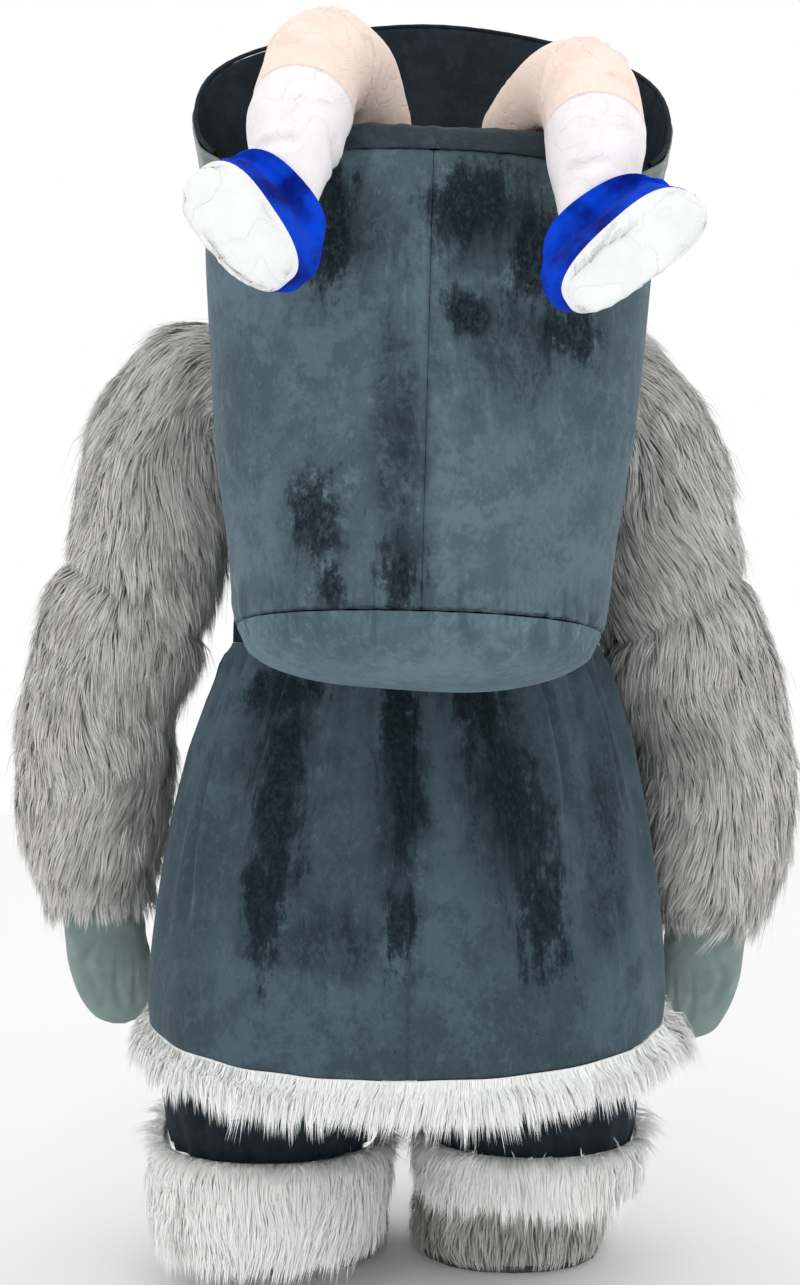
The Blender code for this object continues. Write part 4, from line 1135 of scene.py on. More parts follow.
def make_finishes():
    """Every material of the costume."""
    night = (0.0050, 0.0105, 0.0155)
    velvet("velvet_basket", (0.106, 0.161, 0.190), night, BASKET_NAP, shades=BASKET_SHADES, puckered=True)
    velvet("velvet_lid", (0.043, 0.064, 0.079), night, (), 0.9, 0.08)
    velvet("velvet_bottom", (0.130, 0.202, 0.236), night, puckered=True)
    # The skirt's patches and broad shades are painted shade along its folds.
    velvet("velvet_skirt", (0.069, 0.108, 0.133), night, SKIRT_PAINTED_FOLD_SHADE, 0.8, shades=SKIRT_BROAD_PAINTED_SHADE)
    velvet("velvet_bodice", (0.067, 0.103, 0.126), night, BODICE_NAP, shades=BODICE_SHADES)
    velvet("velvet_dark", (0.0170, 0.0250, 0.0330), (0.002, 0.004, 0.006), (), 0.9, 0.03)
    velvet("velvet_breeches", (0.022, 0.034, 0.043), (0.003, 0.005, 0.008), (), 0.9, 0.06)
    thin_cloth("satin", (0.150, 0.180, 0.165), (0.100, 0.125, 0.115), 0.35, 0.3)
    fur_strand("grey_strand", (0.425, 0.422, 0.410), (0.830, 0.818, 0.790), 0.56)
    fur_bed("grey_bed", (0.340, 0.338, 0.336), 0.6)
    fur_strand("white_strand", (0.950, 0.960, 0.945), (0.990, 0.990, 0.985), 0.90)
    fur_bed("white_bed", (0.930, 0.945, 0.930), 0.9)
    felt("felt", (0.235, 0.315, 0.300), (0.150, 0.215, 0.205))
    thin_cloth("peach_cloth", (0.900, 0.755, 0.665), (0.840, 0.600, 0.520), 0.6)
    thin_cloth("sock_cloth", (0.870, 0.840, 0.850), (0.770, 0.710, 0.735), 0.6)
    thin_cloth("sole_cloth", (0.820, 0.830, 0.825), (0.700, 0.725, 0.740), 0.6)
    felt("blue_velvet", (0.001, 0.055, 0.620), (0.001, 0.004, 0.130), 0.85, 0.02)
    rubber("boot_sole", (0.120, 0.120, 0.118), (0.045, 0.046, 0.048))
    polished("horn", (0.620, 0.540, 0.420), (0.300, 0.235, 0.165), 0.35, 240.0)
    polished("eye", (0.020, 0.018, 0.016), (0.004, 0.004, 0.004), 0.08, 60.0)


def finish_named(name):
    """A material of the costume; all of them are made the first time."""
    if name + FINISHED not in bpy.data.materials:
        make_finishes()
    return bpy.data.materials[name + FINISHED]


# Shapes shared by several pieces
def smooth_rows(rows, count):
    """Rows of points read smoothly between the given ones."""
    rows = np.asarray(rows, float)
    flat = Sections(tuple(range(rows[0].size)), rows.reshape(len(rows), -1))
    sizes = flat.at(spread(0.0, flat.last, count))
    return np.stack([sizes[column] for column in flat.columns], -1).reshape(count, *rows.shape[1:])


def edge_distance(points, axis):
    """Distance over the cloth from its first and its last edge, across rows or along them."""
    steps = np.linalg.norm(np.diff(points, axis=axis), axis=-1)
    total = np.cumsum(steps, axis=axis)
    zero = np.zeros_like(np.take(total, [0], axis=axis))
    total = np.concatenate((zero, total), axis=axis)
    return total, np.take(total, [-1], axis=axis) - total


def seam_dip(cloth, axis, depth, width, first=True, last=True):
    """Amounts that pull cloth in along its sewn edges, with small puckers beside them."""
    start, end = edge_distance(cloth.points, axis)
    total = np.zeros(cloth.points.shape[:-1])
    run = edge_distance(cloth.points, 1 - axis)[0]
    pucker = 1.0 + 0.35 * np.sin(run * 260.0 + 3.0 * np.sin(run * 31.0))
    for wanted, apart in ((first, start), (last, end)):
        if wanted:
            total = total - depth * near(apart, width) * pucker
    return total


def dress(name, cloth, finish, slot, rests_on, wall=CLOTH, cap=None):
    """A sewn sheet of one cloth that takes the place of a CAD node."""
    lay_sheet(sew(name, cloth, finish_named(finish), wall, cap), cloth, slot, rests_on)


def moved_inside(cloth, amounts, reach):
    """The cloth moved by amounts that fade out towards its first and its last row."""
    start, end = edge_distance(cloth.points, 0)
    return cloth.moved(amounts * eased(np.minimum(start, end), reach))


def lay_fur(name, cloth, colour, held, rests_on, count, length, lift, fall, width, seed,
            cap=None, **ways):
    """A fur backing as a sheet that carries its strands; the rest is what grow_fur takes."""
    piece = sew(name, cloth, finish_named(colour + "_bed"), wall=BACKING, cap=cap)
    pile = grow_fur(name + "_pile", cloth, finish_named(colour + "_strand"), count, length, lift, fall,
                    width, seed, **ways)
    lay_sheet(piece, cloth, colour + "_fur", rests_on)


def panel(surface, edge, places, columns, core, first=None):
    """An open panel whose side edges may change with the place; edge gives the last angle of a row."""
    last = edge(places)
    start = -last if first is None else np.full_like(last, first)
    share = spread(0.0, 1.0, columns)
    degrees = start[:, None] + (last - start)[:, None] * share
    along = np.repeat(places[:, None], columns, axis=1)
    return Cloth(surface(degrees, along), core, closed=False)


# Tunic; tables of folds hold what creases takes
BODICE_SEAM = 0.14          # degrees between a panel's edge and the side seam
BODICE_FOLDS = {
    "bodice_back": (
        ((-60, 3.0), (-45, 2.2), (-30, 1.2), 6, 16), ((58, 3.1), (42, 2.0), (33, 0.9), 5, 14),
        ((-10, 0.1), (-14, 1.0), (-12, 1.8), 5, 13), ((18, 0.1), (15, 0.9), 4, 11),
        ((-34, 5.6), (-28, 4.6), (-18, 3.9), 5, 14), ((36, 5.5), (26, 4.4), 5, 13),
        ((0, 0.2), (2, 0.8), 3, 10), ((-25, 0.1), (-27, 0.7), 4, 12)),
    "bodice_front_left": (
        ((-124, 3.4), (-140, 2.6), (-152, 1.5), 6, 16), ((-130, 5.2), (-150, 4.4), 5, 14),
        ((-120, 0.1), (-118, 1.1), 5, 13), ((-160, 0.1), (-156, 0.9), (-158, 1.7), 4, 12),
        ((-140, 0.1), (-143, 0.7), 4, 11)),
    "bodice_front_right": (
        ((125, 3.3), (141, 2.3), (155, 1.7), 6, 15),
        ((132, 5.3), (147, 4.5), (158, 4.1), 5, 14),
        ((116, 0.1), (119, 0.9), 5, 12), ((158, 0.1), (161, 1.2), 4, 12),
        ((137, 0.1), (135, 0.8), 4, 11)),
}


def make_bodice():
    """Back and two fronts of velvet, with soft folds from the armholes and a concealed front closure."""
    core = (0.0, 0.0, 1.65 - HOLD_HEIGHT)
    places = spread(0.0, TORSO.last, 54)
    for name, folds in BODICE_FOLDS.items():
        if name == "bodice_back":
            cloth = panel(torso_point, lambda along: 90.0 - BODICE_SEAM - panel_edge(along), places, 64, core)
        else:
            side = SIDES[name.split("_")[-1]]
            cloth = panel(
                lambda degrees, along: torso_point(side * degrees, along),
                lambda along: 90.0 + BODICE_SEAM + panel_edge(along), places, 38, core, 180.0 - BODICE_SEAM)
        amounts = seam_dip(cloth, 1, 0.0016, 0.006) + seam_dip(cloth, 0, 0.001, 0.005)
        amounts = amounts + creases(cloth, torso_point, folds) + 0.0012 * soft_noise(cloth.points, 9.0, 31)
        cloth = cloth.moved(np.minimum(amounts - 0.0008, 0.0030))
        dress(name, cloth, "velvet_bodice", "velvet", ("belt",))


def make_belt():
    """Dark waistband, gathered on its elastic."""
    cloth = tube(belt_point, around(240), spread(0.0, BELT.last, 12))
    turn = turns(240)
    height = cloth.shares()
    gathers = 0.5 + 0.5 * np.cos(42.0 * turn + 1.4 * np.sin(5.0 * turn) + 1.5 * height)
    channels = np.abs(np.sin(height * math.pi * 3.0)) ** 0.5
    cloth = cloth.moved(-0.0042 * gathers * (0.35 + 0.65 * channels) - 0.0006)
    dress("belt", cloth, "velvet_dark", "velvet_dark",
          ("skirt_back_left", "skirt_back_right"), wall=0.0022)


SKIRT_FOLDS = {
    "skirt_back_left": (
        ((-86, 0.15), (-80, 1.6), (-76, 3.2), 9, 16),
        ((-70, 0.1), (-66, 1.2), (-64, 2.2), 8, 14),
        ((-58, 0.2), (-55, 1.5), (-56, 3.6), (-54, 4.8), 10, 18),
        ((-47, 0.1), (-45, 1.0), 6, 12),
        ((-40, 0.1), (-37, 1.4), (-38, 2.4), 8, 14),
        ((-30, 0.2), (-27, 1.0), (-25, 1.9), 6, 12),
        ((-19, 0.1), (-17, 1.6), (-18, 3.4), 7, 15), ((-9, 0.2), (-8, 1.2), 5, 11),
        ((-34, 3.4), (-32, 4.4), (-33, 5.6), 6, 18), ((-12, 3.8), (-13, 5.4), 5, 16)),
    "skirt_back_right": (
        ((6, 0.1), (7, 1.0), (6, 2.0), 6, 12), ((15, 0.2), (17, 1.7), (16, 3.0), 8, 15),
        ((26, 0.1), (28, 1.0), 6, 12), ((33, 0.25), (36, 1.4), (38, 2.6), (37, 3.9), 10, 17),
        ((45, 0.1), (47, 1.2), (47, 2.0), 7, 13), ((55, 0.2), (57, 1.6), (59, 3.3), 9, 16),
        ((66, 0.1), (68, 0.9), 6, 12), ((76, 0.2), (79, 1.5), (80, 2.7), 9, 15),
        ((86, 0.15), (87, 1.2), 6, 13), ((22, 3.2), (24, 4.6), (23, 5.7), 6, 18),
        ((50, 4.0), (52, 5.5), 5, 17)),
    "skirt_front_left": (
        ((-96, 0.1), (-98, 1.4), (-97, 2.9), 9, 16), ((-108, 0.2), (-110, 1.1), 6, 12),
        ((-118, 0.1), (-121, 1.8), (-122, 3.6), 10, 17),
        ((-131, 0.2), (-133, 1.0), (-134, 1.8), 7, 13),
        ((-143, 0.1), (-145, 1.6), (-144, 3.1), 8, 15), ((-155, 0.1), (-156, 1.1), 6, 12),
        ((-166, 0.2), (-167, 1.5), (-165, 2.6), 8, 14), ((-150, 3.7), (-149, 5.3), 5, 18)),
    "skirt_front_right": (
        ((95, 0.2), (97, 1.3), (99, 2.3), 8, 15), ((106, 0.1), (108, 1.9), (107, 3.8), 10, 17),
        ((117, 0.1), (118, 1.0), 6, 12), ((127, 0.2), (130, 1.5), (131, 2.8), 9, 15),
        ((139, 0.1), (141, 1.1), (142, 1.9), 7, 13),
        ((151, 0.1), (153, 1.7), (152, 3.3), 8, 15),
        ((163, 0.2), (165, 1.2), 6, 12), ((173, 0.1), (174, 1.4), (173, 2.5), 7, 14),
        ((145, 3.9), (147, 5.5), 5, 18)),
}


def make_skirt():
    """Four velvet panels gathered to the waistband, with folds of uneven length."""
    seam = 0.004
    starts = {
        "skirt_back_right": 0.0,
        "skirt_back_left": -90.0,
        "skirt_front_right": 90.0,
        "skirt_front_left": -180.0,
    }
    for name, first in starts.items():
        angles = spread(first + seam, first + 90.0 - seam, 74)
        points = grid_of(skirt_point, angles, spread(0.0, SKIRT.last, 52))
        cloth = Cloth(points, (0.0, 0.0, 0.9 - HOLD_HEIGHT), closed=False)
        amounts = 1.3 * creases(cloth, skirt_point, SKIRT_FOLDS[name])
        amounts = amounts + seam_dip(cloth, 1, 0.0022, 0.007)
        amounts = amounts + seam_dip(cloth, 0, 0.0016, 0.007, first=False)
        fade = eased(edge_distance(cloth.points, 0)[0], 0.02)
        amounts = amounts + 0.0022 * soft_noise(cloth.points, 7.0, 51) - 0.001
        cloth = cloth.moved(amounts * fade)
        dress(name, cloth, "velvet_skirt", "velvet", ("belt",))


def make_skirt_trim():
    """White fur band that hangs from the skirt's hem."""
    cloth = tube(trim_point, around(180), spread(0.02, 1.25, 12))
    cloth = cloth.moved(-0.020 * cloth.shares() ** 0.5 - 0.001)
    lay_fur("skirt_fur_trim", cloth, "white", "hung", ("skirt_back_left", "skirt_back_right"), 23000,
            settings().trim_length * 0.72, 0.68, 0.60, 0.0027, 71, lock=12, wisps=0.42)


# Legs and feet
BREECHES_FOLDS = {
    "left": (((0, 4.7), (8, 3.6), (4, 2.4), 10, 17), ((-30, 4.8), (-22, 3.9), 8, 14),
             ((35, 4.8), (30, 3.3), (36, 2.0), 9, 16), ((75, 4.7), (70, 3.5), 8, 15),
             ((110, 4.8), (118, 3.2), 8, 15), ((160, 4.8), (150, 3.8), 8, 14),
             ((200, 4.8), (205, 3.1), 9, 16), ((250, 4.8), (246, 3.7), 8, 14),
             ((300, 4.8), (310, 3.4), 9, 15), ((20, 1.4), (60, 1.8), 6, 18)),
    "right": (((6, 4.8), (2, 3.4), (8, 2.2), 10, 17), ((30, 4.8), (38, 3.8), 8, 14),
              ((62, 4.8), (66, 3.2), (60, 2.1), 9, 16), ((98, 4.8), (94, 3.6), 8, 15),
              ((140, 4.8), (148, 3.4), 8, 15), ((185, 4.8), (180, 3.6), 8, 14),
              ((228, 4.8), (222, 3.2), 9, 16), ((270, 4.8), (276, 3.8), 8, 14),
              ((330, 4.8), (324, 3.3), 9, 15), ((330, 1.6), (20, 2.0), 6, 18)),
}


def make_breeches():
    """Seat under the skirt and two legs of dark velvet, gathered in at the cuffs."""
    cloth = tube(seat_point, around(72), spread(0.0, SEAT.last, 20))
    cloth = cloth.moved(0.0022 * soft_noise(cloth.points, 11.0, 81) - 0.0022)
    dress("breeches_seat", cloth, "velvet_breeches", "velvet_dark", ("belt",))
    for name, side in SIDES.items():
        surface = breeches_point(side)
        cloth = tube(surface, around(108), spread(0.0, BREECHES.last, 44))
        turn = turns(108)
        waves = np.cos(24.0 * turn + 2.0 * np.sin(3.0 * turn))
        amounts = 0.0045 * eased(cloth.shares() - 0.66, 0.2) * waves
        amounts = amounts + creases(cloth, surface, BREECHES_FOLDS[name])
        amounts = amounts + 0.002 * soft_noise(cloth.points, 10.0, 91) - 0.003
        cloth = cloth.moved(amounts * eased(cloth.shares(), 0.06))
        dress("breeches_" + name, cloth, "velvet_breeches", "velvet_dark", ("breeches_seat",))


CUFF_START = 1.15           # rows of CUFF between which the backing runs
CUFF_BED = {"left": 3.2, "right": 2.3}


def make_cuffs():
    """White fur cuffs that hang long behind and short over the insteps."""
    angles = around(96)
    for name, side in SIDES.items():
        surface = cuff_point(name, side)
        points = grid_of(surface, angles, spread(CUFF_START, CUFF_BED[name], 18))
        out = float(CUFF.at(CUFF_START)["out"]) * CUFF_SPREAD[name]
        top = surface(angles, np.full_like(angles, CUFF_START), CUFF_EASE - out)
        cloth = tube_of(np.concatenate((top[None], points)))
        cloth = cloth.moved(-0.012 * cloth.shares() ** 0.5 - 0.001)
        lay_fur("cuff_fur_" + name, cloth, "white", "hung", ("breeches_" + name,), 10500,
                settings().trim_length * 0.72, 0.50, 0.50, 0.0029, 101 + int(side),
                gather=0.6, lock=12, wisps=0.35)


def make_feet():
    """Wide grey fur feet on flat dark soles."""
    for name, side in SIDES.items():
        cloth = tube(foot_point(side), around(72), spread(0.0, FOOT.last, 24))
        cloth = cloth.moved(-PILE_BED * eased(cloth.shares(), 0.12) - 0.0015)
        lay_fur("foot_fur_" + name, cloth, "grey", "stretched", ("cuff_fur_" + name,), 7500,
                settings().fur_length * 0.72, 0.42, 0.30, 0.0028, 121 + int(side), comb=-1.0,
                keep=lambda points: points[..., 2] > 0.030 - HOLD_HEIGHT)


# Arms
ELBOW_SEAM = (0.014, 0.022)     # depth and width of the fur's dip


def make_sleeves():
    """Grey fur sleeves, sewn to the armholes and to each other at the elbow."""
    angles = around(60)
    for name, side in SIDES.items():
        armhole = armhole_point(angles, side, 0.0015)
        surface = ring_point(UPPER_SLEEVE, name, side, shoulder=True)
        rings = grid_of(surface, angles, spread(0.0, UPPER_SLEEVE.last, 6))
        upper = tube_of(smooth_rows(np.concatenate((armhole[None], rings)), 36))
        upper = upper.moved(-PILE_BED * eased(upper.shares(), 0.10) - 0.001)
        upper = upper.moved(seam_dip(upper, 0, *ELBOW_SEAM, first=False))
        lower = tube(ring_point(LOWER_SLEEVE, name, side), angles, spread(0.0, LOWER_SLEEVE.last, 38))
        ease = np.clip((1.0 - lower.shares()) / 0.10, 0.25, 1.0)
        lower = lower.moved(-PILE_BED * ease - 0.001)
        lower = lower.moved(seam_dip(lower, 0, *ELBOW_SEAM, last=False))
        for part, cloth, count, held_by in (
                ("upper", upper, 24000, "bodice_back"),
                ("lower", lower, 25000, "sleeve_upper_" + name)):
            lay_fur(f"sleeve_{part}_{name}", cloth, "grey", "hung", (held_by,), count,
                    settings().fur_length * 0.95, 0.33, 0.28, 0.0027,
                    141 + 2 * int(side) + len(part) + count, gather=0.66, lock=15)


GLOVE_FOLDS = (
    ((150, 1.6), (190, 1.9), (230, 1.7), 6, 10), ((0, 2.0), (40, 2.3), 4, 9),
    ((270, 2.2), (300, 3.0), (290, 3.9), 5, 10), ((250, 2.8), (262, 3.8), (258, 4.8), 4, 8),
    ((225, 3.0), (232, 4.0), (230, 4.9), 4, 8), ((180, 2.7), (205, 3.1), 5, 9),
    ((60, 3.2), (70, 4.4), 4, 9), ((330, 1.5), (350, 1.8), 4, 9))
THUMB_LENGTH = 0.068
THUMB_RINGS = ((0.022, 0.006, 0.024), (0.040, 0.028, 0.022), (0.050, 0.052, 0.018),
               (0.054, THUMB_LENGTH, 0.010))        # forward, down, radius


def make_gloves():
    """Felt mittens whose wrists go up inside the sleeves."""
    for name, side in SIDES.items():
        palm = ring_point(GLOVE, name, side)
        cloth = tube(palm, around(84), spread(0.0, GLOVE.last, 48))
        amounts = creases(cloth, palm, GLOVE_FOLDS) + 0.0012 * soft_noise(cloth.points, 26.0, 161) - 0.001
        cloth = cloth.moved(np.minimum(amounts * eased(cloth.shares(), 0.2), 0.0015))
        tip = cloth.points[-1].mean(0) - np.array((0.0, 0.0, 0.006))
        dress("glove_" + name, cloth, "felt", "felt", ("sleeve_lower_" + name,), cap=tip)
        make_thumb(name, side, palm)


def make_thumb(name, side, palm):
    """A mitten's thumb, which points forwards and down."""
    circle = np.radians(around(40))
    base = palm(105.0 + 26.0 * np.cos(circle), 2.75 + 0.42 * np.sin(circle), 0.0041)
    rows = [base]
    for forward, down, radius in THUMB_RINGS:
        slope = 0.5 * down / THUMB_LENGTH
        ring = stack(-side * radius * np.cos(circle), -radius * slope * np.sin(circle),
                     -radius * (1.0 - slope) * np.sin(circle))
        rows.append(base.mean(0) + np.array((0.0, forward, -down)) + ring)
    thumb = tube_of(smooth_rows(rows, 26))
    thumb = thumb.moved(0.0008 * soft_noise(thumb.points, 60.0, 171) - 0.0004)
    end = thumb.points[-1].mean(0) + np.array((0.0, 0.002, -0.006))
    dress("thumb_" + name, thumb, "felt", "felt", ("glove_" + name,), wall=0.002, cap=end)


# Hood
MUZZLE = {
    "place_on": (180.0, 2.55), "size": (36.0, 0.72), "tip": (0.0, 0.402, 2.072),
    "sides": 56, "rows": 30, "lift": 0.0026,
    "rings": (((0.0, 0.285, 2.095), (-0.098, 0.0, 0.0), (0.0, 0.0, 0.068)),
              ((0.0, 0.345, 2.082), (-0.096, 0.0, 0.0), (0.0, 0.0, 0.070)),
              ((0.0, 0.388, 2.074), (-0.072, 0.0, 0.0), (0.0, 0.0, 0.052))),
    "dents": (((-0.040, 0.385, 2.098), 0.014, 0.012),
              ((0.040, 0.385, 2.098), 0.014, 0.012),
              ((-0.055, 0.375, 2.052), 0.011, 0.005),
              ((-0.028, 0.384, 2.044), 0.011, 0.006),
              ((0.000, 0.388, 2.041), 0.011, 0.006),
              ((0.028, 0.384, 2.044), 0.011, 0.006),
              ((0.055, 0.375, 2.052), 0.011, 0.005)),
}
EAR = {
    "place_on": (96.0, 3.75), "size": (9.0, 0.22), "tip": (0.305, 0.075, 2.170),
    "rings": (((0.205, 0.070, 2.198), (0.0, 0.032, 0.0), (0.0, 0.0, 0.026)),
              ((0.250, 0.075, 2.190), (0.0, 0.034, 0.0), (0.0, 0.0, 0.024)),
              ((0.290, 0.075, 2.175), (0.0, 0.016, 0.0), (0.0, 0.0, 0.012))),
}
HORN = {
    "place_on": (100.0, 4.75), "size": (13.0, 0.24), "tip": (0.254, 0.090, 2.400),
    "rings": (((0.180, 0.082, 2.298), (0.0, 0.028, 0.0), (-0.014, 0.0, 0.024)),
              ((0.225, 0.088, 2.325), (0.0, 0.021, 0.0), (-0.016, 0.0, 0.013)),
              ((0.248, 0.090, 2.362), (0.0, 0.012, 0.0), (-0.011, 0.0, 0.004))),
}


def bud(side, place_on, size, rings, tip, sides=40, rows=24, lift=0.0006, dents=()):
    """Cloth that grows out of the hood, and its tip: its base follows the hood, then come its rings.

    Rings are middles and two half widths above the soles, for the right side;
    dents are places, radii and depths.
    """
    mirror = np.array((side, 1.0, 1.0))
    circle = np.radians(around(sides))
    degrees = side * (place_on[0] + size[0] * np.cos(circle))
    control = [hood_point(degrees, place_on[1] + size[1] * np.sin(circle), lift)]
    for centre, across, up in np.array(rings) * mirror:
        centre = centre - SHOULDERS
        control.append(centre + np.cos(circle)[:, None] * across + np.sin(circle)[:, None] * up)
    cloth = tube_of(smooth_rows(control, rows))
    amounts = np.full(cloth.points.shape[:-1], -0.0004)
    for place, radius, depth in dents:
        apart = np.linalg.norm(cloth.points - np.array(place) + SHOULDERS, axis=-1)
        amounts = amounts - depth * near(apart, radius)
    return cloth.moved(amounts), np.array(tip) * mirror - SHOULDERS


def make_hood():
    """Plain fur hood with a felt muzzle, ears and short horns."""
    cloth = tube(hood_point, around(68), spread(0.0, HOOD.last, 28))
    cloth = cloth.moved(-0.010 * eased(cloth.shares(), 0.08) - 0.001)
    top = np.array((0.0, 0.045, 2.348)) - SHOULDERS

    def bare(points):
        """Fewer strands under the muzzle and the eyes."""
        height = points[..., 2]
        front = (points[..., 1] > 0.12) & (height < 2.23 - HOLD_HEIGHT) & (height > 1.98 - HOLD_HEIGHT)
        return np.where(front & (np.abs(points[..., 0]) < 0.11), 0.30, 1.0)

    lay_fur("hood", cloth, "grey", "stretched", ("bodice_back",), 9000, settings().fur_length * 0.45,
            0.25, 0.15, 0.0026, 181, cap=top, comb=-1.0, lock=12, keep=bare)
    cloth, tip = bud(1.0, **MUZZLE)
    dress("muzzle", cloth, "felt", "felt", ("hood",), cap=tip)
    for name, side in SIDES.items():
        cloth, tip = bud(side, **EAR)
        lay_fur("ear_" + name, cloth, "grey", "stretched", ("hood",), 900,
                0.020, 0.25, 0.2, 0.0026, 191 + int(side), cap=tip)
        cloth, tip = bud(side, **HORN)
        sew("horn_" + name, cloth, finish_named("horn"), wall=0.003, cap=tip)


def paint_eyes_and_soles():
    """Materials for the eyes and the soles, whose shapes stay the frame's own."""
    for name in SIDES:
        for node, finish in (("eye_" + name, "eye"), ("sole_" + name, "boot_sole")):
            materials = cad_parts[node].data.materials
            materials.clear()
            materials.append(finish_named(finish))


# Basket
BASKET_FOLDS = {
    "left": (
        ((-8, 4.6), (-10, 3.9), (-9, 3.1), 2, 8), ((-28, 5.6), (-30, 4.6), 3, 12),
        ((-45, 5.7), (-48, 4.9), (-47, 4.2), 3, 12), ((-66, 5.6), (-64, 4.8), 3, 12),
        ((-20, 0.3), (-24, 1.1), 3, 12), ((-45, 0.3), (-43, 1.2), 3.5, 12),
        ((-70, 0.3), (-72, 1.4), 3.5, 13), ((-100, 0.3), (-104, 1.3), 3, 12),
        ((-130, 0.4), (-132, 1.5), 3, 12), ((-110, 5.4), (-114, 4.4), 3, 12),
        ((-150, 5.4), (-148, 4.6), 3, 12), ((-55, 2.2), (-75, 2.9), 3.5, 20)),
    "right": (
        ((7, 5.7), (9, 5.1), 2, 8), ((24, 5.6), (28, 4.7), 3, 12),
        ((49, 5.6), (47, 4.8), 3, 12), ((70, 5.6), (74, 4.7), 3, 12),
        ((16, 0.3), (19, 0.9), 3, 11), ((38, 0.3), (41, 1.4), 3.5, 12),
        ((62, 0.3), (59, 1.1), 3.5, 13), ((92, 0.3), (96, 1.4), 3, 12),
        ((122, 0.4), (125, 1.2), 3, 12), ((155, 0.4), (152, 1.5), 3, 12),
        ((112, 5.4), (116, 4.6), 3, 12), ((145, 5.4), (149, 4.5), 3, 12),
        ((60, 3.4), (80, 2.8), 3.5, 20)),
}


def dome(edge, way, power, columns, rows):
    """Points of the basket's lid or bottom in its own frame, from the seam inwards; way is 1 for up."""
    angles = around(columns)
    reaches = 1.0 - (1.0 - spread(0.0, 1.0, rows) ** 1.4) * 0.97
    points = []
    for reach, upright in [(1.0, 0.0)] + [(reach, 1.0) for reach in reaches[::-1]]:
        x, y = round_section(angles, reach, reach, BASKET_POWER)
        rise = SEAM_GAP + upright * LID_EDGE + DOME_RISE * math.sqrt(max(0.0, 1.0 - reach ** power))
        points.append(stack(x * edge["half_width"], y * edge["half_depth"], edge["w"] + way * rise))
    return np.array(points)


def make_basket():
    """Velvet wall in two halves, sewn along its rims to the lid and the bottom."""
    seam = 0.06
    core = in_row_frame(np.array((0.0, 0.0, -0.35)))
    for name, side in SIDES.items():
        angles = side * spread(seam, 180.0 - seam, 108)
        points = grid_of(basket_point, angles, spread(0.0, BASKET_WALL.last, 64))
        cloth = Cloth(in_row_frame(points), core, closed=False)
        amounts = 1.7 * creases(cloth, basket_point, BASKET_FOLDS[name], in_row_frame)
        amounts = amounts + seam_dip(cloth, 1, 0.0022, 0.006) + seam_dip(cloth, 0, 0.0024, 0.007)
        amounts = amounts + 0.0026 * soft_noise(cloth.points, 7.5, 201) - 0.0014
        cloth = cloth.moved(amounts)
        dress("basket_wall_" + name, cloth, "velvet_basket", "velvet",
              ("strap_left", "strap_right"))


def make_basket_ends():
    """The basket's domed lid and its domed bottom, puckered along their seams."""
    for name, slot, row, way, power, seed in (
            ("lid", "velvet_dark", BASKET_WALL.last, 1.0, 3, 211),
            ("bottom", "velvet", 0.0, -1.0, 2.6, 221)):
        edge = BASKET_WALL.at(row)
        points = in_row_frame(dome(edge, way, power, 120, 24))
        middle = in_row_frame(np.array((0.0, 0.0, float(edge["w"]))))
        cloth = Cloth(points, middle - (points[-1].mean(0) - middle) * 1.2)
        start = edge_distance(cloth.points, 0)[0]
        turn = turns(120)
        puckers = near(start, 0.07) * 0.0056 * np.cos(31.0 * turn + 3.0 * np.sin(4.0 * turn))
        amounts = puckers - 0.0016 * near(start, 0.008)
        amounts = amounts + 0.003 * soft_noise(cloth.points, 11.0, seed) - 0.003
        cloth = cloth.moved(amounts * eased(start, 0.02))
        dress("basket_" + name, cloth, "velvet_" + name, slot,
              ("basket_wall_left", "basket_wall_right"), cap=cloth.points[-1].mean(0))


COLLAR_FOLDS = (
    ((80, 0.3), (82, 0.9), 3.5, 12), ((102, 0.2), (104, 0.8), 3.5, 12),
    ((125, 0.3), (128, 0.95), 4.5, 14), ((150, 0.15), (148, 0.7), 3.5, 14),
    ((172, 0.35), (175, 0.9), 3.5, 14), ((196, 0.2), (193, 0.8), 3.5, 13),
    ((218, 0.3), (222, 0.95), 4.5, 14), ((243, 0.2), (240, 0.8), 3.5, 12),
    ((266, 0.3), (264, 0.9), 3.5, 12))


COLLAR_LIFT = CLOTH + 4.0 * SEAM_GAP
COLLAR_CORE = np.array((0.0, 0.0, 0.1))


def make_collar():
    """Tall collar of dark velvet inside and satin outside, topstitched along its rim."""
    angles = spread(COLLAR_START, 360.0 - COLLAR_START, 144)
    turn = np.radians(angles)[None, :]
    heights = np.concatenate(((0.0,), spread(0.001, 1.0, 33)))
    for name, finish, lift in (
            ("collar_inner", "velvet_dark", COLLAR_LIFT),
            ("collar_outer", "satin", COLLAR_LIFT + CLOTH + 2.0 * SEAM_GAP)):
        points = in_row_frame(grid_of(collar_point, angles, heights, lift))
        cloth = Cloth(points, in_row_frame(COLLAR_CORE), closed=False)
        folds = creases(cloth, lambda degrees, height: collar_point(degrees, height, lift), COLLAR_FOLDS,
                        in_row_frame)
        start, end = edge_distance(cloth.points, 0)
        stitch = -0.0016 * near(end - 0.013, 0.0022)
        gathers = 0.0020 * near(end, 0.07) * np.cos(turn * 30.0 + 2.0 * np.sin(turn * 7.0))
        reach = eased(np.minimum(start, end + 0.010), 0.03)
        if name == "collar_inner":
            amounts = (folds + gathers) * reach - stitch - 0.0012
            cloth = cloth.moved(amounts - np.maximum(0.0, amounts) * 0.6)
        else:
            amounts = (folds + 1.8 * gathers) * reach + stitch + 0.0022
            cloth = cloth.moved(np.maximum(amounts, 0.0))
        dress(name, cloth, finish, finish, ("basket_wall_left", "basket_wall_right"))


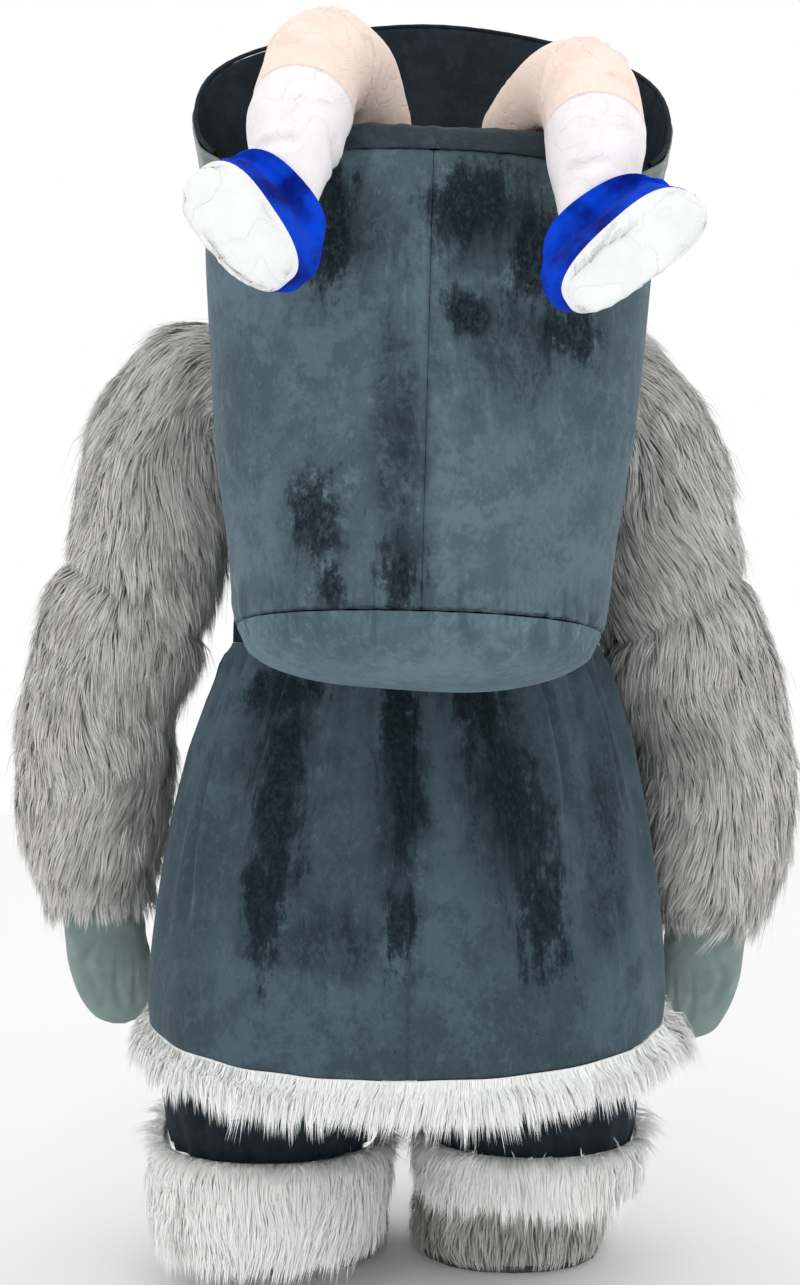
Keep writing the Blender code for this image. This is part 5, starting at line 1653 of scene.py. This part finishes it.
def make_collar_binding():
    """Rolled binding along the collar's rim."""
    rim = spread(COLLAR_START, 360.0 - COLLAR_START, 144)[3:-3]
    path = collar_point(rim, np.ones_like(rim), COLLAR_LIFT) + np.array((0.0, 0.0, BINDING_RADIUS + 0.002))
    path = in_row_frame(path)
    ahead = unit(np.gradient(path, axis=0))
    outward = path - in_row_frame(COLLAR_CORE)
    outward = unit(outward - ahead * np.sum(outward * ahead, axis=-1, keepdims=True))
    beside = np.cross(ahead, outward)
    circle = np.radians(around(10))
    tight = 1.0 + 0.05 * np.sin(np.arange(len(rim)) * 1.9)[:, None, None]
    ring = outward[:, None] * np.cos(circle)[:, None] + beside[:, None] * np.sin(circle)[:, None]
    cloth = tube_of(path[:, None] + ring * BINDING_RADIUS * tight)
    dress("collar_binding", cloth, "velvet_dark", "velvet_dark", ("collar_inner",), wall=0.0012)


STRAP_ROUTE = Sections(("angle", "along", "lift"), (
    (158.0, 0.10, 0.0043), (156.0, 1.4, 0.0076), (152.0, 2.6, 0.007), (147.0, 3.8, 0.009),
    (138.0, 4.9, 0.010), (118.0, 5.55, 0.011), (90.0, 5.75, 0.012), (62.0, 5.55, 0.011),
    (46.0, 4.9, 0.011), (36.0, 4.2, 0.011)))
STRAP_WIDTH = 0.044
STRAP_ON_BODY = 70          # points along the body before the strap hangs over to the basket


def make_straps():
    """Webbing of velvet from the belt over the shoulders to the basket's wall."""
    for name, side in SIDES.items():
        size = STRAP_ROUTE.at(spread(0.0, STRAP_ROUTE.last, STRAP_ON_BODY))
        middles = torso_point(side * size["angle"], size["along"], size["lift"])
        wall = in_row_frame(basket_point(np.array(180.0 - side * 22.0), np.array(4.35), 0.011))
        hang = middles[-1] + (wall - middles[-1]) * 0.55 - np.array((0.0, 0.0, 0.012))
        tail = smooth_rows([middles[-1], hang, wall], 14)[1:]
        middles = np.concatenate((middles, tail))
        height = middles[:, 2:] + HOLD_HEIGHT - 1.70
        outward = unit(np.concatenate((middles[:, :1] * 0.6, middles[:, 1:2], height * 1.6), axis=1))
        blend = eased(np.arange(len(middles)) - float(STRAP_ON_BODY), 8.0)[:, None]
        outward = outward * (1.0 - blend) + np.array((0.0, 0.3, 1.0)) * blend
        across = unit(np.cross(np.gradient(middles, axis=0), outward))
        share = spread(-STRAP_WIDTH / 2.0, STRAP_WIDTH / 2.0, 16)
        points = middles[:, None] + across[:, None] * share[:, None]
        cloth = Cloth(points, (0.0, 0.0, 1.5 - HOLD_HEIGHT), closed=False)
        edge = np.minimum(*edge_distance(cloth.points, 1))
        cloth = cloth.moved(-0.0012 * near(edge - 0.005, 0.0016) - 0.0008 * near(edge, 0.002))
        dress("strap_" + name, cloth, "velvet_dark", "velvet_dark", ("bodice_back",))


# Carried legs
LEG_POINTS = 60             # points round a leg
SOCK_TOP = 13               # the sock's ring at the leg's hem


def off_the_basket(points):
    """Points moved up to lie just outside the lid where the stuffed leg presses on it."""
    over = rim_reach(points, LEG_CLEARANCE) < 1.0
    raised = np.maximum(points[..., 2], lid_height(points) + LEG_CLEARANCE)
    return np.concatenate((points[..., :2], np.where(over, raised, points[..., 2])[..., None]), axis=-1)


def leg_rings(sections, count):
    """Rings along a carried leg, square to the way it runs."""
    along = spread(0.0, sections.last, count)
    size = sections.at(along)
    low = sections.at(np.maximum(0.0, along - 0.2))
    high = sections.at(np.minimum(float(sections.last), along + 0.2))
    ahead = unit(stack(high["x"] - low["x"], high["y"] - low["y"], high["w"] - low["w"]))
    side = unit(np.array((1.0, 0.0, 0.0)) - ahead * ahead[:, :1])
    up = np.cross(ahead, side)
    middle = stack(size["x"], size["y"], size["w"])
    circle = np.radians(around(LEG_POINTS))[:, None]
    ring = side[:, None] * np.cos(circle) + up[:, None] * np.sin(circle)
    return off_the_basket(middle[:, None] + ring * size["radius"][:, None, None])


def sole_outline(shoe, scale, back):
    """The shoe's outline, wider at the toe, some way behind its sole."""
    toe = unit(np.array((shoe["toe"][0], 0.0, shoe["toe"][1])))
    square = np.array((toe[2], 0.0, -toe[0]))
    middle = np.array(shoe["middle"]) + np.array((0.0, back, 0.0))
    angles = around(LEG_POINTS)[:, None]
    circle = np.radians(angles)
    across, along = round_section(angles, 1.0, -1.0, 2.8)
    uneven = 1.0 + 0.035 * np.sin(2.0 * circle + shoe["length"] * 90.0) + 0.03 * np.sin(3.0 * circle + 1.0)
    width = shoe["width"] / 2.0 * across * (1.0 + 0.20 * along)
    upward = square * (1.0 if square[2] > 0.0 else -1.0) * min(0.030, back * 0.75)
    return middle + upward + (toe * shoe["length"] / 2.0 * along + square * width) * scale * uneven


def nearest_turn(outline, ring):
    """The ring's points in the order and from the start that lie nearest to the outline's."""
    best = None
    for order in (ring, ring[::-1]):
        for start in range(len(order)):
            turned = np.roll(order, -start, axis=0)
            reach = ((outline - turned) ** 2).sum()
            if best is None or reach < best[0]:
                best = (reach, turned)
    return best[1]


LEG_CREASES = {
    "left": (((10, 0.20), (60, 0.26), (110, 0.22)), ((200, 0.30), (250, 0.34), (300, 0.30)),
             ((20, 0.62), (70, 0.56), (120, 0.60)), ((60, 0.70), (110, 0.66), (160, 0.72)),
             ((300, 0.55), (340, 0.60), (20, 0.56)), ((80, 0.42), (100, 0.30)), ((140, 0.80), (100, 0.88))),
    "right": (((60, 0.24), (110, 0.28), (160, 0.22)), ((240, 0.32), (290, 0.36)),
              ((30, 0.58), (80, 0.64), (130, 0.58)), ((90, 0.74), (130, 0.68), (170, 0.74)),
              ((310, 0.62), (350, 0.58), (30, 0.64)), ((60, 0.44), (80, 0.32)), ((40, 0.86), (80, 0.90))),
}


SOCK_CREASES = (
    ((40, 0.25), (80, 0.32), (130, 0.28)), ((300, 0.45), (350, 0.5), (40, 0.46)),
    ((70, 0.62), (110, 0.7), (150, 0.64)), ((200, 0.6), (240, 0.66)))
SHOE_RINGS = ((1.00, 0.0008), (1.04, 0.020), (1.04, 0.045))
SOLE_RINGS = ((1.00, 0.0), (0.985, -0.0045), (0.96, -0.008), (0.80, -0.014), (0.45, -0.017), (0.12, -0.018))
SOLE_CREASES = (
    ((20, 0.15), (35, 0.45), (70, 0.6)), ((150, 0.2), (165, 0.5)), ((220, 0.15), (235, 0.55), (300, 0.7)),
    ((320, 0.2), (335, 0.5)), ((90, 0.1), (95, 0.45)), ((270, 0.12), (262, 0.4)))


def leg_marks(cloth, lines, depth, width):
    """Amounts of creases across a leg, given as (degrees, share of its length)."""
    rows, columns = cloth.points.shape[:2]
    total = np.zeros((rows, columns))
    for number, line in enumerate(lines):
        degrees = np.unwrap(np.radians([mark[0] for mark in line]))
        shares = [mark[1] for mark in line]
        steps = spread(0.0, len(line) - 1.0, 12)
        index = np.arange(len(line))
        column = np.degrees(np.interp(steps, index, degrees)) / 360.0 * columns
        column = column.round().astype(int) % columns
        row = np.clip((np.interp(steps, index, shares) * (rows - 1)).round().astype(int), 0, rows - 1)
        deeper = 0.8 + 0.4 * (number % 3)
        wider = 0.8 + 0.25 * (number % 2)
        total = total + crease(cloth, cloth.points[row, column], depth * deeper, width * wider)
    return total


def stuff(name, cloth, finish, cap=None):
    """A piece of stuffed cloth."""
    piece = sew(name, cloth, finish_named(finish), cap=cap)


def make_carried_leg(name, leg, thigh):
    """The bare leg, from its root on the lid to its hem in the sock."""
    first = leg["thigh"].at(0.0)
    lean = np.arctan2(thigh[0][:, 2] - first["w"], thigh[0][:, 0] - first["x"])
    x = leg["root"][0] + thigh[0][:, 0] - first["x"]
    y = leg["root"][1] - first["radius"] * 0.95 * np.sin(lean)
    root = stack(x, y, 0.0)
    root[:, 2] = lid_height(root) + 0.0005
    stem = smooth_rows([root, thigh[0], thigh[8]], 16)[:8]
    cloth = tube_of(in_row_frame(np.concatenate((stem, thigh))))
    end = edge_distance(cloth.points, 0)[1]
    circle = turns(LEG_POINTS)
    puckers = 0.0022 * near(end, 0.035) * np.cos(19.0 * circle + 2.0 * np.sin(3.0 * circle))
    amounts = leg_marks(cloth, LEG_CREASES[name], 0.0080, 0.010) + puckers
    amounts = amounts + 0.0022 * soft_noise(cloth.points, 24.0, 231) - 0.0012
    stuff("leg_" + name, moved_inside(cloth, amounts, 0.02), "peach_cloth")


def make_sock(name, shoe, sock, hem):
    """The sock, from the leg's hem down into the shoe."""
    ankle = sock[-1]
    sole = nearest_turn(ankle, sole_outline(shoe, 0.64, 0.052))
    down = unit(sock[SOCK_TOP].mean(0) - hem.mean(0))
    upper = np.concatenate(((hem + down * 0.0010)[None], sock[SOCK_TOP:]))
    instep = smooth_rows([ankle, ankle + (sole - ankle) * 0.3, ankle + (sole - ankle) * 0.61], 10)[1:]
    cloth = tube_of(in_row_frame(np.concatenate((upper, instep))))
    start = edge_distance(cloth.points, 0)[0]
    amounts = leg_marks(cloth, SOCK_CREASES, 0.0042, 0.009) + 0.0022 * soft_noise(cloth.points, 30.0, 241)
    puckers = 0.0016 * near(start, 0.03) * np.cos(17.0 * turns(LEG_POINTS) + 1.0)
    cloth = moved_inside(cloth, amounts + puckers - 0.001, 0.014)
    stuff("sock_" + name, cloth, "sock_cloth")


def make_shoe(name, leg, ankle_ring):
    """The shoe's upper, with a seam on each side of its toe cap."""
    shoe = leg["shoe"]
    last = leg["sock"].at(leg["sock"].last)
    before = leg["sock"].at(leg["sock"].last - 0.2)
    ahead = unit(np.array([float(last[axis] - before[axis]) for axis in ("x", "y", "w")]))
    middle = ankle_ring.mean(0)
    wide = 1.0 + (CLOTH + 0.0038) / float(last["radius"])
    ankle = nearest_turn(sole_outline(shoe, 1.0, 0.0), middle + (ankle_ring - middle) * wide)
    ankle = ankle - ahead * 0.002
    rows = [sole_outline(shoe, scale, back) for scale, back in SHOE_RINGS]
    widest = rows[-1]
    rows.extend((widest + (ankle - widest) * 0.22, widest + (ankle - widest) * 0.42))
    cloth = tube_of(in_row_frame(smooth_rows(rows, 34)))
    start = edge_distance(cloth.points, 0)[0]
    circle = turns(LEG_POINTS)
    cap_seam = near(circle - math.radians(52.0), 0.045) + near(circle - math.radians(308.0), 0.045)
    amounts = -0.0045 * cap_seam * np.clip(1.2 - start / 0.07, 0.0, 1.0)
    amounts = amounts + 0.0016 * np.cos(23.0 * circle) * near(start, 0.02)
    amounts = amounts + 0.0022 * soft_noise(cloth.points, 34.0, 251) - 0.001
    stuff("shoe_" + name, moved_inside(cloth, amounts, 0.010), "blue_velvet")


def make_shoe_sole(name, shoe):
    """The shoe's stuffed pale sole."""
    rows = [sole_outline(shoe, scale, back) for scale, back in SOLE_RINGS]
    core = in_row_frame(np.array(shoe["middle"]) + np.array((0.0, 0.1, 0.0)))
    cloth = Cloth(in_row_frame(smooth_rows(rows, 22)), core)
    start = edge_distance(cloth.points, 0)[0]
    circle = turns(LEG_POINTS)
    amounts = leg_marks(cloth, SOLE_CREASES, 0.0055, 0.007)
    amounts = amounts + 0.0030 * soft_noise(cloth.points, 38.0, 261) - 0.0015
    puckers = 0.0014 * np.cos(26.0 * circle + 1.5 * np.sin(5.0 * circle)) * near(start, 0.016)
    cloth = cloth.moved((amounts + puckers) * eased(start, 0.010))
    stuff("shoe_sole_" + name, cloth, "sole_cloth", cap=cloth.points[-1].mean(0))


def make_carried_legs():
    """Two stuffed legs with socks and shoes that come out of the lid and hang over its edge."""
    for name, leg in CARRIED_LEGS.items():
        sock = leg_rings(leg["sock"], 30)
        thigh = np.concatenate((leg_rings(leg["thigh"], 40), sock[1:SOCK_TOP]))
        make_carried_leg(name, leg, thigh)
        make_sock(name, leg["shoe"], sock, thigh[-1])
        make_shoe(name, leg, sock[-1])
        make_shoe_sole(name, leg["shoe"])


# Stage
FOCAL_LENGTH = 1710.0       # pixels of the photo
FRAME_HEIGHT = 1285.0
SENSOR = 36.0


def make_stage():
    """Pale floor, soft lamps and a camera straight behind the costume."""
    floor_paint = Paint("floor", Roughness=0.9)
    place_on = floor_paint.place()
    cloud = floor_paint.noise(place_on, 1.2, 3.0)
    colour = floor_paint.mixed((0.95, 0.95, 0.95), (0.93, 0.93, 0.93), cloud)
    vertices = np.array(((-9, -9, 0), (9, -9, 0), (9, 9, 0), (-9, 9, 0)), float)
    vertices[:, 2] = -HOLD_HEIGHT - 0.0005
    finish = floor_paint.finish(colour, 0.85 + cloud * 0.1)
    floor = make_mesh("floor", vertices, np.arange(4), np.array((0,)), finish)

    world = bpy.context.scene.world or bpy.data.worlds.new("studio")
    bpy.context.scene.world = world
    world.use_nodes = True
    background = world.node_tree.nodes["Background"]
    background.inputs["Color"].default_value = (1.0, 1.0, 1.0, 1.0)
    background.inputs["Strength"].default_value = 1.0
    for name, where, aim, size, power in (
            ("key", (-1.6, -4.2, 2.4), (0.0, -0.2, -0.4), 2.6, settings().key_light),
            ("fill", (2.6, -3.6, 0.8), (0.0, 0.0, -0.6), 2.4, settings().key_light * 0.45),
            ("top", (0.3, 0.6, 3.2), (0.0, -0.2, 0.0), 2.2, settings().key_light * 0.2)):
        lamp = bpy.data.lights.new(name, "AREA")
        lamp.energy = power
        lamp.size = size
        holder = bpy.data.objects.new(name, lamp)
        bpy.context.scene.collection.objects.link(holder)
        holder.location = where
        way = Vector(where) - Vector(aim)
        holder.rotation_euler = way.to_track_quat("Z", "Y").to_euler()

    lens = bpy.data.cameras.new("camera")
    lens.lens = FOCAL_LENGTH / FRAME_HEIGHT * SENSOR
    lens.sensor_width = SENSOR
    camera = bpy.data.objects.new("camera", lens)
    bpy.context.scene.collection.objects.link(camera)
    camera.location = (0.0, -3.4, 1.25 - HOLD_HEIGHT)
    camera.rotation_euler = (math.radians(90.0), 0.0, 0.0)
    bpy.context.scene.camera = camera
    bpy.context.scene.view_settings.view_transform = "Standard"


# Operators and panel
class MakingStep:
    """What the operators share: steps are the functions that one of them runs, in order."""

    steps = ()

    def execute(self, context):
        """Run the steps."""
        for step in self.steps:
            step()
        return {"FINISHED"}


class COSTUME_OT_tunic(MakingStep, bpy.types.Operator):
    """Make the velvet bodice, the waistband and the skirt with its fur hem"""

    bl_idname = "costume.tunic"
    bl_label = "Make Tunic"
    steps = (make_bodice, make_belt, make_skirt, make_skirt_trim)


class COSTUME_OT_legs(MakingStep, bpy.types.Operator):
    """Make the breeches, their fur cuffs and the fur feet"""

    bl_idname = "costume.legs"
    bl_label = "Make Breeches and Feet"
    steps = (make_breeches, make_cuffs, make_feet)


class COSTUME_OT_arms(MakingStep, bpy.types.Operator):
    """Make the fur sleeves and the felt gloves"""

    bl_idname = "costume.arms"
    bl_label = "Make Sleeves and Gloves"
    steps = (make_sleeves, make_gloves)


class COSTUME_OT_hood(MakingStep, bpy.types.Operator):
    """Make the fur hood with its muzzle, ears, eyes and horns"""

    bl_idname = "costume.hood"
    bl_label = "Make Hood"
    steps = (make_hood, paint_eyes_and_soles)


class COSTUME_OT_basket(MakingStep, bpy.types.Operator):
    """Make the velvet basket with its collar and its shoulder straps"""

    bl_idname = "costume.basket"
    bl_label = "Make Basket"
    steps = (make_basket, make_basket_ends, make_collar, make_collar_binding, make_straps)


class COSTUME_OT_carried_legs(MakingStep, bpy.types.Operator):
    """Make the two stuffed legs that hang out of the basket"""

    bl_idname = "costume.carried_legs"
    bl_label = "Make Carried Legs"
    steps = (make_carried_legs,)


class COSTUME_OT_stage(MakingStep, bpy.types.Operator):
    """Make the floor, the lamps and the camera"""

    bl_idname = "costume.stage"
    bl_label = "Make Stage"
    steps = (make_stage,)


OPERATORS = (
    COSTUME_OT_stage,
    COSTUME_OT_tunic,
    COSTUME_OT_legs,
    COSTUME_OT_arms,
    COSTUME_OT_hood,
    COSTUME_OT_basket,
    COSTUME_OT_carried_legs,
)


class COSTUME_PT_panel(bpy.types.Panel):
    """The costume's settings and making steps"""

    bl_idname = "COSTUME_PT_panel"
    bl_label = "Minotaur Costume"
    bl_space_type = "VIEW_3D"
    bl_region_type = "UI"
    bl_category = "Costume"

    def draw(self, context):
        choices = context.scene.costume_settings
        column = self.layout.column()
        for name in ("fur_length", "trim_length", "fur_density", "fold_depth", "key_light", "seed"):
            column.prop(choices, name)
        for operator in OPERATORS:
            column.operator(operator.bl_idname)


CLASSES = (CostumeSettings,) + OPERATORS + (COSTUME_PT_panel,)


def register():
    """Add the settings, operators and panel to Blender."""
    for item in CLASSES:
        bpy.utils.register_class(item)
    bpy.types.Scene.costume_settings = PointerProperty(type=CostumeSettings)


def unregister():
    """Take them out again."""
    del bpy.types.Scene.costume_settings
    for item in reversed(CLASSES):
        bpy.utils.unregister_class(item)


def main():
    """Make the whole costume and its stage."""
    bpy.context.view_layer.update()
    register()
    bpy.ops.costume.stage()
    bpy.ops.costume.tunic()
    bpy.ops.costume.legs()
    bpy.ops.costume.arms()
    bpy.ops.costume.hood()
    bpy.ops.costume.basket()
    bpy.ops.costume.carried_legs()


if __name__ == "__main__":
    main()
